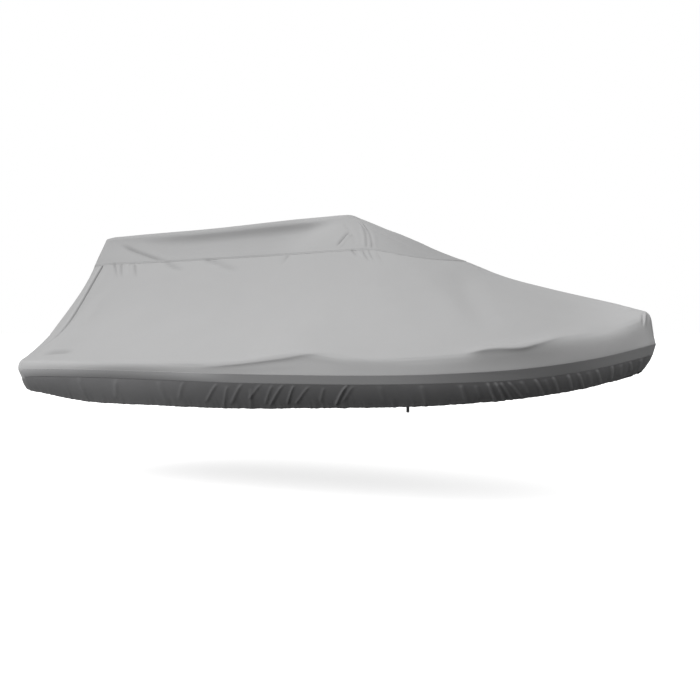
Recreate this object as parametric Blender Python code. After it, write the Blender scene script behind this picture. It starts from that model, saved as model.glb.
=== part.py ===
"""Fitted boat cover, as it stands when pulled tight.

The cover is a hollow shell of sewn cloth, open underneath: a roof cap over a ridge that rises
towards the bow, two large side panels that meet on the centreline forward, a stern panel
between the two corner seams, a darker reinforcing band round the widest part, a skirt below it
that is drawn in by its hem, and one webbing tie-down tab a side.

Units are metres, +Z up, +X towards the bow, starboard is -Y.  The origin is the underside of
the roof cap at the middle of the ridge, on the centreline.
"""
import bpy
import numpy as np

# ------------------------------------------------------------------ driving dimensions
CLOTH = 0.002            # thickness of every cloth panel
SEAM_GAP = 0.0003        # gap between neighbouring pieces
BAND_WIDTH = 0.080       # height of the reinforcing band amidships
BAND_BOW = 0.018         # so much wider at the bow
BAND_FLARE = 0.018       # how far its lower edge stands out forward of the stern
RIDGE_RISE = 0.045       # crown of the ridge between its two rounded edges
RIDGE_ROUND = 0.042      # how far the rounding of the ridge's edge reaches, at most
SEAM_TAUT = 0.13         # the corner seam is pulled straight, and the cloth so far to its sides
RIDGE_FADE = 0.15        # the crown dies out over this length at both ends of the ridge
CROWN_STEPS = 2          # quads from the centreline to the ridge's edge
ORIGIN_X = -0.440        # middle of the ridge, in station coordinates
ORIGIN_Z = 2.3462        # underside of the cap there, above the base plane
STRAP_X = 1.835          # where the tie-down tabs hang, in station coordinates
STRAP_WIDTH = 0.025
STRAP_THICK = 0.0025
STRAP_SEWN = 0.042       # length sewn inside the hem
STRAP_FREE = 0.062       # length that hangs below the hem

# ------------------------------------------------------------------ stations
# One row for each station on the way round the starboard half, from the centre of the nose to
# the centre of the stern.  x, y, zb: top edge of the band, the widest line of the cover.
# si, sh: the shoulder, so far inboard of and above that edge; ln: lean of the face between;
# cr: how sharply the cloth bends at the shoulder, 0 to 1.
# hi, hd: the hem, so far inboard of and below that edge.  kx ky kz: a knee line on the side
# panel.  sx sy sz: the cap seam.  rx ry rz: the rounded edge of the ridge; rs: how steeply the
# cap falls off it.
COLUMNS = ("x", "y", "zb", "si", "sh", "ln", "cr", "hi", "hd",
           "kx", "ky", "kz", "sx", "sy", "sz", "rx", "ry", "rz", "rs")
STATIONS = [
    #  name            x       y      zb    si    sh    ln   cr    hi    hd      kx      ky     kz      sx      sy     sz      rx      ry     rz    rs
    ("nose centre",    3.480,  0.000, 1.318, .105, .258, .045, 0.0, .105, .215,  2.220,  0.000,  1.864,  1.880,  0.000,  1.999,  0.945,  0.000,  2.384, 0.00),
    ("nose",           3.462, -0.100, 1.312, .100, .258, .045, 0.1, .105, .215,  2.220, -0.060,  1.864,  1.870, -0.080,  1.998,  0.935, -0.045,  2.383, 0.00),
    ("nose corner",    3.395, -0.200, 1.290, .092, .250, .028, 0.3, .110, .212,  2.215, -0.145,  1.855,  1.840, -0.170,  1.998,  0.920, -0.080,  2.383, 0.00),
    ("flare 1",        3.120, -0.520, 1.215, .070, .220, -.002, 0.4, .120, .212,  2.160, -0.375,  1.802,  1.720, -0.300,  2.005,  0.890, -0.115,  2.383, 0.10),
    ("flare 2",        2.700, -0.900, 1.150, .034, .168, -.006, 0.9, .120, .212,  1.985, -0.615,  1.700,  1.520, -0.390,  2.037,  0.840, -0.150,  2.382, 0.30),
    ("flare 3",        2.150, -1.140, 1.108, .026, .150, -.006, 0.6, .120, .225,  1.650, -0.745,  1.638,  1.250, -0.425,  2.090,  0.735, -0.190,  2.379, 0.80),
    ("side forward",   1.400, -1.220, 1.080, .018, .142, .000, 0.5, .115, .255,  1.200, -0.771,  1.614,  0.980, -0.445,  2.092,  0.560, -0.235,  2.367, 2.20),
    ("side high",      0.950, -1.224, 1.072, .020, .180, .000, 1.0, .115, .272,  0.800, -0.775,  1.600,  0.650, -0.450,  2.081,  0.390, -0.258,  2.356, 3.80),
    ("side middle",    0.400, -1.225, 1.065, .016, .116, -.004, 0.7, .115, .290,  0.330, -0.777,  1.584,  0.250, -0.450,  2.066,  0.150, -0.272,  2.340, 5.00),
    ("side aft",      -0.600, -1.220, 1.066, .030, .098, -.021, 0.0, .120, .300, -0.600, -0.765,  1.557, -0.600, -0.450,  2.040, -0.600, -0.270,  2.295, 5.00),
    ("quarter",       -1.350, -1.198, 1.062, .035, .094, -.020, 0.0, .130, .290, -1.320, -0.785,  1.498, -1.150, -0.440,  2.028, -1.290, -0.260,  2.269, 3.50),
    ("quarter aft",   -1.780, -1.160, 1.052, .045, .102, -.018, 0.0, .115, .235, -1.640, -0.805,  1.436, -1.452, -0.430,  2.029, -1.607, -0.245,  2.256, 2.00),
    ("corner seam",   -2.035, -1.075, 1.036, .055, .115, -.014, 0.0, .085, .200, -1.812, -0.785,  1.390, -1.606, -0.420,  2.033, -1.712, -0.228,  2.255, 0.60),
    ("stern corner",  -2.172, -0.978, 1.022, .112, .152, -.010, 0.0, .075, .176, -2.006, -0.680,  1.384, -1.742, -0.370,  2.022, -1.752, -0.205,  2.255, 0.15),
    ("stern end",     -2.243, -0.830, 1.020, .145, .164, -.008, 0.0, .078, .180, -2.126, -0.530,  1.390, -1.842, -0.262,  2.018, -1.785, -0.150,  2.254, 0.00),
    ("stern inner",   -2.240, -0.430, 1.032, .102, .174, .000, 0.0, .074, .192, -2.168, -0.260,  1.402, -1.898, -0.140,  2.015, -1.805, -0.075,  2.254, 0.00),
    ("stern centre",  -2.236,  0.000, 1.034, .098, .174, .000, 0.0, .074, .189, -2.174,  0.000,  1.402, -1.907,  0.000,  2.015, -1.810,  0.000,  2.254, 0.00),
]
SEAM_STATION = 12        # row of the aft corner seam, where band, skirt and side panel end
ACROSS = ("y", "ky", "sy", "ry")      # columns that change sign at the centreline

# quads between one station and the next, and between one level and the next
STATION_STEPS = (1, 2, 4, 5, 5, 6, 4, 4, 7, 5, 3, 2, 2, 2, 2, 2)
LEVELS = (                # name, quads up to the level before it
    ("ridge", 0), ("cap seam", 3), ("knee", 3), ("shoulder", 3),
    ("band top", 4), ("band bottom", 1), ("hem", 2),
)

# ------------------------------------------------------------------ folds
# Main folds of the starboard side, in station coordinates: a trough (depth > 0) or a ridge
# (depth < 0) along the line a-b-c, fading at both ends.  Port has the same, a little shallower.
FOLD_COLUMNS = ("a", "b", "c", "width", "depth")
FOLDS = [
    #  a                       b                       c                       width  depth
    ((2.30, -1.07, 1.25),     (2.66, -0.90, 1.28),    (3.00, -0.60, 1.35),    .060,  .014),   # under the bow edge
    ((2.25, -1.03, 1.31),     (2.66, -0.85, 1.36),    (3.05, -0.52, 1.44),    .060, -.008),   # the bow edge
    ((-0.10, -1.21, 1.11),    (0.78, -1.20, 1.19),    (1.55, -1.20, 1.16),    .040,  .008),   # over the middle
    ((1.80, -0.20, 2.00),     (2.14, -0.55, 1.70),    (2.46, -0.87, 1.38),    .130,  .012),   # down the forward slope
    ((-1.85, -1.05, 1.18),    (-1.62, -1.07, 1.21),   (-1.40, -1.07, 1.23),   .050,  .008),   # over the stern corner
    ((-1.55, -0.27, 2.17),    (-1.20, -0.34, 2.11),   (-0.82, -0.42, 2.05),   .050,  .008),   # across the cap, aft
    ((-1.20, -0.31, 2.19),    (-0.30, -0.32, 2.23),   (0.70, -0.28, 2.26),    .065,  .022),   # under the ridge's edge
]
PORT_FOLD = 0.8


# ------------------------------------------------------------------ curves through the stations
def columns():
    """The station table as one array for each column, and the distance along the outline."""
    table = {c: np.array([row[i + 1] for row in STATIONS], float)
             for i, c in enumerate(COLUMNS)}
    run = np.hypot(np.diff(table["x"]), np.diff(table["y"]))
    return table, np.concatenate([[0.0], np.cumsum(run)])


def smooth(t, v, mirrored):
    """Slopes of a smooth curve through (t, v); the ends meet their mirror image."""
    step = np.diff(t)
    rise = np.diff(v) / step
    slope = np.zeros(len(t))
    slope[1:-1] = (rise[:-1] * step[1:] + rise[1:] * step[:-1]) / (step[1:] + step[:-1])
    if not mirrored:
        slope[0], slope[-1] = rise[0], rise[-1]
    return slope


def curve(t, v, slope, q):
    k = np.clip(np.searchsorted(t, q, side="right") - 1, 0, len(t) - 2)
    h = t[k + 1] - t[k]
    w = (q - t[k]) / h
    return ((1 + 2 * w) * (1 - w) ** 2 * v[k] + w * (1 - w) ** 2 * h * slope[k]
            + w * w * (3 - 2 * w) * v[k + 1] + w * w * (w - 1) * h * slope[k + 1])


def unit(v):
    return v / np.maximum(np.linalg.norm(v, axis=-1, keepdims=True), 1e-9)


def gap(a, b):
    return np.linalg.norm(a - b, axis=1, keepdims=True)


def level_lines(q):
    """The level lines of the starboard half at distances q, the outward direction, the columns."""
    table, t = columns()
    c = {n: curve(t, table[n], smooth(t, table[n], n not in ACROSS), q) for n in COLUMNS}
    lo, hi = np.clip(q - 1e-4, 0, t[-1]), np.clip(q + 1e-4, 0, t[-1])
    along = [curve(t, table[n], smooth(t, table[n], n not in ACROSS), hi)
             - curve(t, table[n], smooth(t, table[n], n not in ACROSS), lo) for n in ("x", "y")]
    out = unit(np.stack([-along[1], along[0], 0 * along[0]], 1))
    up = np.array([0.0, 0.0, 1.0])
    edge = np.stack([c["x"], c["y"], c["zb"]], 1)
    hem = edge - out * c["hi"][:, None] - up * c["hd"][:, None]
    share = ((BAND_WIDTH + BAND_BOW * fade((c["x"] - 1.9) / 1.0)) / np.hypot(c["hi"], c["hd"]))[:, None]
    flare = (BAND_FLARE * fade((c["x"] + 0.9) / 1.5))[:, None]
    return {
        "ridge": np.stack([c["rx"], c["ry"], c["rz"]], 1),
        "cap seam": np.stack([c["sx"], c["sy"], c["sz"]], 1),
        "knee": np.stack([c["kx"], c["ky"], c["kz"]], 1),
        "shoulder": edge - out * c["si"][:, None] + up * c["sh"][:, None],
        "band top": edge,
        "band bottom": edge + (hem - edge) * share + out * flare,
        "hem": hem,
    }, out, c


def bend(p0, p1, p2, p3, n):
    """n rows of points along the bends p0..p3, the last row left out."""
    w = (np.arange(n) / n)[:, None, None]
    return (1 - w) ** 3 * p0 + 3 * w * (1 - w) ** 2 * p1 + 3 * w * w * (1 - w) * p2 + w ** 3 * p3


def fade(x):
    x = np.clip(x, 0.0, 1.0)
    return x * x * (3 - 2 * x)


def ridge_fall(ridge, seam, steep):
    """Direction in which the cap leaves the ridge's edge."""
    way = unit(seam - ridge)
    return unit(way - steep * way[:, 1:2] ** 2 * np.array([0.0, 0.0, 1.0]))


def crown(q):
    """Rows of points from the centreline to the row before the ridge's edge."""
    line, _, c = level_lines(q)
    edge = line["ridge"]
    fall = ridge_fall(edge, line["cap seam"], c["rs"][:, None])
    front, back = edge[0, 0], edge[-1, 0]
    rise = RIDGE_RISE * fade(np.minimum(front - edge[:, 0], edge[:, 0] - back) / RIDGE_FADE)
    top = edge * (1, 0, 1) + rise[:, None] * np.array([0.0, 0.0, 1.0])
    reach = np.minimum(0.35 * np.abs(edge[:, 1:2]), RIDGE_ROUND)
    return bend(top, top + (edge - top) * (1, 0.5, 0), edge - fall * reach, edge, CROWN_STEPS)


def half_grid(q):
    """Rows of points from the ridge edge down to the hem, each row as long as q."""
    line, out, col = level_lines(q)
    lean, crisp = col["ln"][:, None], col["cr"][:, None]
    t = columns()[1]
    corner = t[SEAM_STATION]
    up = np.array([0.0, 0.0, 1.0])
    ridge, seam, knee, shoulder, top, low, hem = (line[n] for n, _ in LEVELS)
    to_seam, to_knee, to_shoulder = unit(seam - ridge), unit(knee - seam), unit(shoulder - knee)
    at_ridge = ridge_fall(ridge, seam, col["rs"][:, None])
    swell = 0.25 - 0.40 * fade((q - t[4]) / (t[6] - t[4])) - 0.13 * fade((q - corner + 0.3) / 0.35)
    taut = np.exp(-((q - corner) / SEAM_TAUT) ** 2)[:, None]
    at_seam = unit(to_seam + to_knee + swell[:, None] * out)
    from_seam = unit(at_seam + taut * (to_knee - at_seam))
    at_knee = unit(to_knee + (1 - 0.5 * taut) * to_shoulder)
    a, b, c, d, e, f = (gap(ridge, seam) / 3, gap(seam, knee) / 3, gap(knee, shoulder) / 3,
                        gap(shoulder, top), (low - top) / 3, gap(low, hem))
    n = [steps for _, steps in LEVELS]
    parts = [
        bend(ridge, ridge + at_ridge * a, seam - at_seam * a, seam, n[1]),
        bend(seam, seam + from_seam * b, knee - at_knee * b, knee, n[2]),
        bend(knee, knee + at_knee * c, shoulder - to_shoulder * c, shoulder, n[3]),
        bend(shoulder, shoulder + to_shoulder * d * (0.38 - 0.23 * crisp),
             top + up * d * (0.55 + 0.25 * crisp) - out * lean, top, n[4]),
        bend(top, top + e, low - e, low, n[5]),
        bend(low, low + (hem - low) / 3 + out * f * 0.10, low + (hem - low) * 2 / 3 + out * f * 0.08,
             hem, n[6]),
        hem[None],
    ]
    return np.concatenate(parts)


def fold_depth(points, side):
    """How far the folds push each point in, for side -1 (starboard) or +1 (port)."""
    depth = np.zeros(len(points))
    for a, b, c, width, push in FOLDS:
        way = np.array([a, b, c]) * (1, -side if side > 0 else 1, 1)
        best = np.full(len(points), 9.0)
        where = np.zeros(len(points))
        for i in (0, 1):
            leg = way[i + 1] - way[i]
            w = np.clip((points - way[i]) @ leg / (leg @ leg), 0, 1)
            far = np.linalg.norm(points - way[i] - w[:, None] * leg, axis=1)
            near = far < best
            best[near], where[near] = far[near], (i + w[near]) / 2
        ends = fade(where / 0.3) * fade((1 - where) / 0.3)
        depth += push * (1 if side < 0 else PORT_FOLD) * ends * np.exp(-(best / width) ** 2)
    return depth


# ------------------------------------------------------------------ one skin for the whole cover
def skin():
    """Points, faces with their piece's name, and normals of the cover's outer surface."""
    _, t = columns()
    q = np.concatenate([[t[i] + (t[i + 1] - t[i]) * k / n for k in range(n)]
                        for i, n in enumerate(STATION_STEPS)] + [[t[-1]]])
    rows = half_grid(q)
    levels, half = rows.shape[0], rows.shape[1] - 1
    seam_column = sum(STATION_STEPS[:SEAM_STATION])
    cut, names = [0], ("roof_panel", "side_panel", "side_panel", "side_panel", "band", "skirt")
    for _, n in LEVELS[1:]:
        cut.append(cut[-1] + n)

    points, index = [], {}
    for k in range(levels):
        for j in range(half + 1):
            for side in (-1, 1):
                if side > 0 and j in (0, half):        # on the centreline both are one point
                    index[k, j, 1] = index[k, j, -1]
                    continue
                index[k, j, side] = len(points)
                points.append(rows[k, j] * (1, -side, 1))
    tops = crown(q)
    for k in range(CROWN_STEPS):                       # the crown of the ridge
        for j in range(half + 1):
            for side in (-1, 1):
                if j in (0, half):                     # it closes to a point at both ends
                    index[k - CROWN_STEPS, j, side] = index[0, j, -1]
                elif k == 0 and side > 0:
                    index[-CROWN_STEPS, j, 1] = index[-CROWN_STEPS, j, -1]
                else:
                    index[k - CROWN_STEPS, j, side] = len(points)
                    points.append(tops[k, j] * (1, -side, 1))
    points = np.array(points)

    faces = []
    for side, word in ((-1, "starboard"), (1, "port")):
        def quad(a, b, c, d, piece):
            ring = [a, b, c, d] if side < 0 else [d, c, b, a]
            ring = [v for i, v in enumerate(ring) if v != ring[i - 1]]
            if len(ring) == 3:
                faces.append((ring, piece))
            elif len(ring) == 4:
                p = points[ring]
                if np.linalg.norm(p[0] - p[2]) <= np.linalg.norm(p[1] - p[3]):
                    faces.append((ring[:3], piece))
                    faces.append(([ring[0], ring[2], ring[3]], piece))
                else:
                    faces.append(([ring[1], ring[2], ring[3]], piece))
                    faces.append(([ring[1], ring[3], ring[0]], piece))
        for j in range(half):
            for k in range(-CROWN_STEPS, levels - 1):
                level = max([i for i in range(len(cut) - 1) if cut[i] <= k], default=0)
                piece = names[level]
                if piece != "roof_panel":
                    piece = "stern_panel" if j >= seam_column else piece + "_" + word
                quad(index[k, j, side], index[k, j + 1, side], index[k + 1, j + 1, side],
                     index[k + 1, j, side], piece)

    def normals(pts):
        total = np.zeros_like(pts)
        for ring, _ in faces:
            a, b, c = pts[ring]
            total[ring] += np.cross(b - a, c - a)
        return unit(total)

    normal = normals(points)
    middle = np.abs(points[:, 1]) < 1e-6
    port = points[:, 1] > 0
    push = np.where(port, fold_depth(points, 1), fold_depth(points, -1))
    push[middle] = 0.0
    points = points - normal * push[:, None]
    return points, faces, normals(points)


def sheet(points, faces, normal, name):
    """One closed sheet: the faces of one piece, held back from its seams and given thickness."""
    mine = [ring for ring, piece in faces if piece == name]
    owners = {}
    for ring, piece in faces:
        for a, b in zip(ring, ring[1:] + ring[:1]):
            owners.setdefault((min(a, b), max(a, b)), []).append(piece)
    used = sorted({v for ring in mine for v in ring})
    local = {v: i for i, v in enumerate(used)}
    rim, pull = [], {}
    for ring in mine:
        a, b, c = points[ring]
        flat = unit(np.cross(b - a, c - a))
        for u, v in zip(ring, ring[1:] + ring[:1]):
            own = owners[min(u, v), max(u, v)]
            if own.count(name) == 1:
                rim.append((u, v))
                if len(own) == 2:                      # another piece is sewn on here
                    inward = np.cross(flat, unit(points[v] - points[u]))
                    pull.setdefault(u, []).append(inward)
                    pull.setdefault(v, []).append(inward)
    top = points[used].copy()
    for v, ways in pull.items():
        total = np.sum(ways, axis=0)
        top[local[v]] += total * (SEAM_GAP / 2) * len(ways) / max(total @ total, 0.3)
    low = top - normal[used] * CLOTH
    count = len(used)
    shape = [tuple(local[v] for v in ring) for ring in mine]
    shape += [tuple(count + local[v] for v in reversed(ring)) for ring in mine]
    for u, v in rim:
        a, b = local[u], local[v]
        shape += [(b, a, count + a), (b, count + a, count + b)]
    return np.concatenate([top, low]), shape


# ------------------------------------------------------------------ objects
def material(name, colour, roughness, metallic=0.0):
    m = bpy.data.materials.new(name)
    m.use_nodes = True
    shader = m.node_tree.nodes["Principled BSDF"]
    shader.inputs["Base Color"].default_value = (*colour, 1.0)
    shader.inputs["Roughness"].default_value = roughness
    shader.inputs["Metallic"].default_value = metallic
    return m


def add(name, verts, faces, mat):
    mesh = bpy.data.meshes.new(name)
    mesh.from_pydata([tuple(v) for v in verts], [], faces)
    mesh.materials.append(mat)
    mesh.update()
    mesh.shade_smooth()
    mesh.set_sharp_from_angle(angle=0.7)
    obj = bpy.data.objects.new(name, mesh)
    bpy.context.scene.collection.objects.link(obj)
    return obj


def strap(points, faces, normal, side):
    """A webbing tab: a flat strip sewn inside the hem, then hanging straight down."""
    word = "skirt_port" if side > 0 else "skirt_starboard"
    rims = [v for ring, piece in faces if piece == word for v in ring]
    near = np.array(sorted(set(rims)))
    band = near[np.abs(points[near][:, 0] - STRAP_X) < 0.20]
    low = band[np.argsort(points[band][:, 2])][:3]     # hem points beside the tab
    hem_y = np.interp(STRAP_X, *zip(*sorted((points[v][0], points[v][1]) for v in low)))
    hem_z = np.interp(STRAP_X, *zip(*sorted((points[v][0], points[v][2]) for v in low)))
    n = unit(np.mean([normal[v] for v in low], axis=0))
    along = unit(np.array([n[1], -n[0], 0.0]))
    along = along if along[0] > 0 else -along
    up = unit(np.cross(n, along) * side)
    up = up if up[2] > 0 else -up
    clear = CLOTH + 0.0016                              # behind the skirt's inner face
    root = np.array([STRAP_X, hem_y, hem_z]) - n * clear
    level = unit(n * (1, 1, 0))
    line = [(root + up * STRAP_SEWN, n), (root, (n + level) / (1 + n @ level)),
            (root - np.array([0, 0, STRAP_FREE]), level)]
    verts, shape = [], []
    for p, out in line:
        for s in (-1, 1):
            for depth in (0.0, STRAP_THICK):
                verts.append(p + along * s * STRAP_WIDTH / 2 - out * depth)
    for i in (0, 4):
        shape += [(i, i + 4, i + 6, i + 2), (i + 1, i + 3, i + 7, i + 5),
                  (i, i + 1, i + 5, i + 4), (i + 2, i + 6, i + 7, i + 3)]
    shape += [(0, 2, 3, 1), (8, 9, 11, 10)]
    a, b, c = (np.array(verts[i]) for i in shape[0][:3])
    if np.cross(b - a, c - a) @ n < 0:
        shape = [tuple(reversed(f)) for f in shape]
    return verts, shape


def build():
    for obj in list(bpy.data.objects):
        bpy.data.objects.remove(obj, do_unlink=True)
    light = material("cover cloth", (0.45, 0.45, 0.45), 0.75)
    dark = material("band cloth", (0.20, 0.20, 0.205), 0.75)
    darker = material("skirt cloth", (0.10, 0.10, 0.105), 0.75)
    webbing = material("webbing", (0.012, 0.012, 0.013), 0.6)
    points, faces, normal = skin()
    shift = np.array([ORIGIN_X, 0.0, ORIGIN_Z])
    mats = {"roof_panel": light, "stern_panel": light, "side_panel": light, "band": dark,
            "skirt": darker}
    names = sorted({piece for _, piece in faces})
    for name in names:
        verts, shape = sheet(points, faces, normal, name)
        base = name.rsplit("_", 1)[0] if name.endswith(("_port", "_starboard")) else name
        add(name, verts - shift, shape, mats[base])
    for side, word in ((-1, "starboard"), (1, "port")):
        verts, shape = strap(points, faces, normal, side)
        add("strap_" + word, np.array(verts) - shift, shape, webbing)


build()
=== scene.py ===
"""Looks of the fitted cover: every sewn panel as its own detailed sheet with its folds, seams,
stitches and hem, woven cloth materials, a pale floor and soft studio light.

Folds are given in station coordinates, the same as the shape tables: metres, x towards the bow,
starboard is -y, z above the floor.  Everything is shifted into the part's frame at the end.
"""

import math

import bpy
import numpy as np
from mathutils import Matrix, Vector


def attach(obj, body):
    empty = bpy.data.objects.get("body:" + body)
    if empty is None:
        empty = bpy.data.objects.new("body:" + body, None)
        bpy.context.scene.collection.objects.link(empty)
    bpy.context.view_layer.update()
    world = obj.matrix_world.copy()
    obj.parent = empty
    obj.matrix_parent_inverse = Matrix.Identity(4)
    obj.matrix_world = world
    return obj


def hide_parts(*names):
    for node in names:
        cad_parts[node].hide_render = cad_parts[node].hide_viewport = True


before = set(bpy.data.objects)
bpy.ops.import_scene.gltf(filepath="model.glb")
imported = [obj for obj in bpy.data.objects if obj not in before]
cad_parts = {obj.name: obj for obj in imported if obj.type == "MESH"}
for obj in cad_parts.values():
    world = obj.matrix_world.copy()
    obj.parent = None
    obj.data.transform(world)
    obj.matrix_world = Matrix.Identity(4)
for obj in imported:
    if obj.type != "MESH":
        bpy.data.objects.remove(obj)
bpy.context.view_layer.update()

# ------------------------------------------------------------------ camera, first
CAMERA = {"place": (5.658, -8.853, -0.7462), "turn": 26.5, "down": 2.169, "lens": 57.03}


def camera():
    data = bpy.data.cameras.new("camera")
    data.lens, data.sensor_width, data.sensor_fit = CAMERA["lens"], 36.0, "AUTO"
    data.clip_start, data.clip_end = 0.1, 400.0
    obj = bpy.data.objects.new("camera", data)
    obj.location = CAMERA["place"]
    obj.rotation_euler = (math.radians(90 - CAMERA["down"]), 0.0, math.radians(CAMERA["turn"]))
    bpy.context.scene.collection.objects.link(obj)
    bpy.context.scene.camera = obj


camera()

# ------------------------------------------------------------------ shape of the cover
CLOTH = 0.0014           # thickness that shows
ORIGIN = np.array([-0.440, 0.0, 2.3462])
BAND_WIDTH = 0.080       # amidships; wider at the bow
BAND_BOW = 0.018
BAND_FLARE = 0.018       # how far its lower edge stands out forward of the stern
RIDGE_RISE = 0.045
RIDGE_FADE = 0.15
SEAM_TAUT = 0.13         # the corner seam is pulled straight, and the cloth so far to its sides
RIDGE_ROUND = 0.042      # how far the rounding of the ridge's edge reaches, at most
COLUMNS = ("x", "y", "zb", "si", "sh", "ln", "cr", "hi", "hd",
           "kx", "ky", "kz", "sx", "sy", "sz", "rx", "ry", "rz", "rs")
STATIONS = [
    #  name            x       y      zb    si    sh    ln   cr    hi    hd      kx      ky     kz      sx      sy     sz      rx      ry     rz    rs
    ("nose centre",    3.480,  0.000, 1.318, .098, .259, .045, 0.3, .105, .215,  2.220,  0.000,  1.864,  1.880,  0.000,  1.999,  0.945,  0.000,  2.375, 0.00),
    ("nose",           3.462, -0.100, 1.312, .094, .256, .044, 0.3, .105, .215,  2.220, -0.060,  1.864,  1.870, -0.080,  1.998,  0.935, -0.045,  2.376, 0.00),
    ("nose corner",    3.395, -0.200, 1.290, .080, .226, .014, 0.5, .110, .222,  2.215, -0.145,  1.855,  1.840, -0.170,  1.998,  0.920, -0.080,  2.378, 0.00),
    ("flare 1",        3.120, -0.520, 1.215, .064, .212, -.012, 0.4, .120, .234,  2.160, -0.375,  1.802,  1.720, -0.300,  2.005,  0.890, -0.115,  2.381, 0.10),
    ("flare 2",        2.700, -0.900, 1.150, .034, .168, -.006, 0.9, .120, .236,  1.985, -0.615,  1.700,  1.520, -0.390,  2.037,  0.840, -0.150,  2.382, 0.30),
    ("flare 3",        2.150, -1.140, 1.108, .026, .150, -.006, 0.6, .120, .245,  1.650, -0.745,  1.638,  1.250, -0.425,  2.090,  0.735, -0.190,  2.379, 0.80),
    ("side forward",   1.400, -1.220, 1.080, .018, .142, .000, 0.5, .115, .260,  1.200, -0.771,  1.614,  0.980, -0.445,  2.092,  0.560, -0.235,  2.367, 2.20),
    ("side high",      0.950, -1.224, 1.072, .020, .180, .000, 1.0, .115, .272,  0.800, -0.775,  1.600,  0.650, -0.450,  2.081,  0.390, -0.258,  2.356, 3.80),
    ("side middle",    0.400, -1.225, 1.065, .016, .116, -.004, 0.7, .115, .290,  0.330, -0.777,  1.584,  0.250, -0.450,  2.066,  0.150, -0.272,  2.340, 5.00),
    ("side aft",      -0.600, -1.220, 1.066, .030, .098, -.021, 0.0, .120, .300, -0.600, -0.765,  1.557, -0.600, -0.450,  2.040, -0.600, -0.270,  2.295, 5.00),
    ("quarter",       -1.350, -1.198, 1.062, .035, .094, -.020, 0.0, .130, .290, -1.320, -0.785,  1.498, -1.150, -0.440,  2.028, -1.290, -0.260,  2.269, 3.50),
    ("quarter aft",   -1.780, -1.160, 1.052, .045, .102, -.018, 0.0, .115, .235, -1.640, -0.805,  1.436, -1.455, -0.430,  2.025, -1.607, -0.245,  2.256, 2.00),
    ("corner seam",   -2.035, -1.075, 1.036, .055, .115, -.014, 0.0, .085, .200, -1.812, -0.785,  1.390, -1.614, -0.420,  2.019, -1.712, -0.228,  2.255, 0.60),
    ("stern corner",  -2.172, -0.978, 1.022, .112, .152, -.010, 0.0, .075, .176, -2.006, -0.680,  1.384, -1.747, -0.370,  2.011, -1.752, -0.205,  2.255, 0.15),
    ("stern end",     -2.243, -0.830, 1.020, .145, .164, -.008, 0.0, .078, .180, -2.126, -0.530,  1.390, -1.846, -0.262,  2.008, -1.785, -0.150,  2.254, 0.00),
    ("stern inner",   -2.240, -0.430, 1.032, .102, .174, .000, 0.0, .074, .192, -2.168, -0.260,  1.402, -1.902, -0.140,  2.005, -1.805, -0.075,  2.254, 0.00),
    ("stern centre",  -2.236,  0.000, 1.034, .098, .174, .000, 0.0, .074, .189, -2.174,  0.000,  1.402, -1.911,  0.000,  2.005, -1.810,  0.000,  2.254, 0.00),
]
SEAM_STATION = 12
ACROSS = ("y", "ky", "sy", "ry")
UP = np.array([0.0, 0.0, 1.0])


def columns():
    table = {c: np.array([row[i + 1] for row in STATIONS], float)
             for i, c in enumerate(COLUMNS)}
    run = np.hypot(np.diff(table["x"]), np.diff(table["y"]))
    return table, np.concatenate([[0.0], np.cumsum(run)])


TABLE, RUN = columns()
ROUND = RUN[-1]                     # from the centre of the nose to the centre of the stern
CORNER = RUN[SEAM_STATION]          # where the corner seam meets the band


def smooth(t, v, mirrored):
    step = np.diff(t)
    rise = np.diff(v) / step
    slope = np.zeros(len(t))
    slope[1:-1] = (rise[:-1] * step[1:] + rise[1:] * step[:-1]) / (step[1:] + step[:-1])
    if not mirrored:
        slope[0], slope[-1] = rise[0], rise[-1]
    return slope


def curve(t, v, slope, q):
    k = np.clip(np.searchsorted(t, q, side="right") - 1, 0, len(t) - 2)
    h = t[k + 1] - t[k]
    w = (q - t[k]) / h
    return ((1 + 2 * w) * (1 - w) ** 2 * v[k] + w * (1 - w) ** 2 * h * slope[k]
            + w * w * (3 - 2 * w) * v[k + 1] + w * w * (w - 1) * h * slope[k + 1])


def column(name, q):
    return curve(RUN, TABLE[name], smooth(RUN, TABLE[name], name not in ACROSS), q)


def unit(v):
    return v / np.maximum(np.linalg.norm(v, axis=-1, keepdims=True), 1e-9)


def fade(x):
    x = np.clip(x, 0.0, 1.0)
    return x * x * (3 - 2 * x)


def gap(a, b):
    return np.linalg.norm(a - b, axis=1, keepdims=True)


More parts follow.
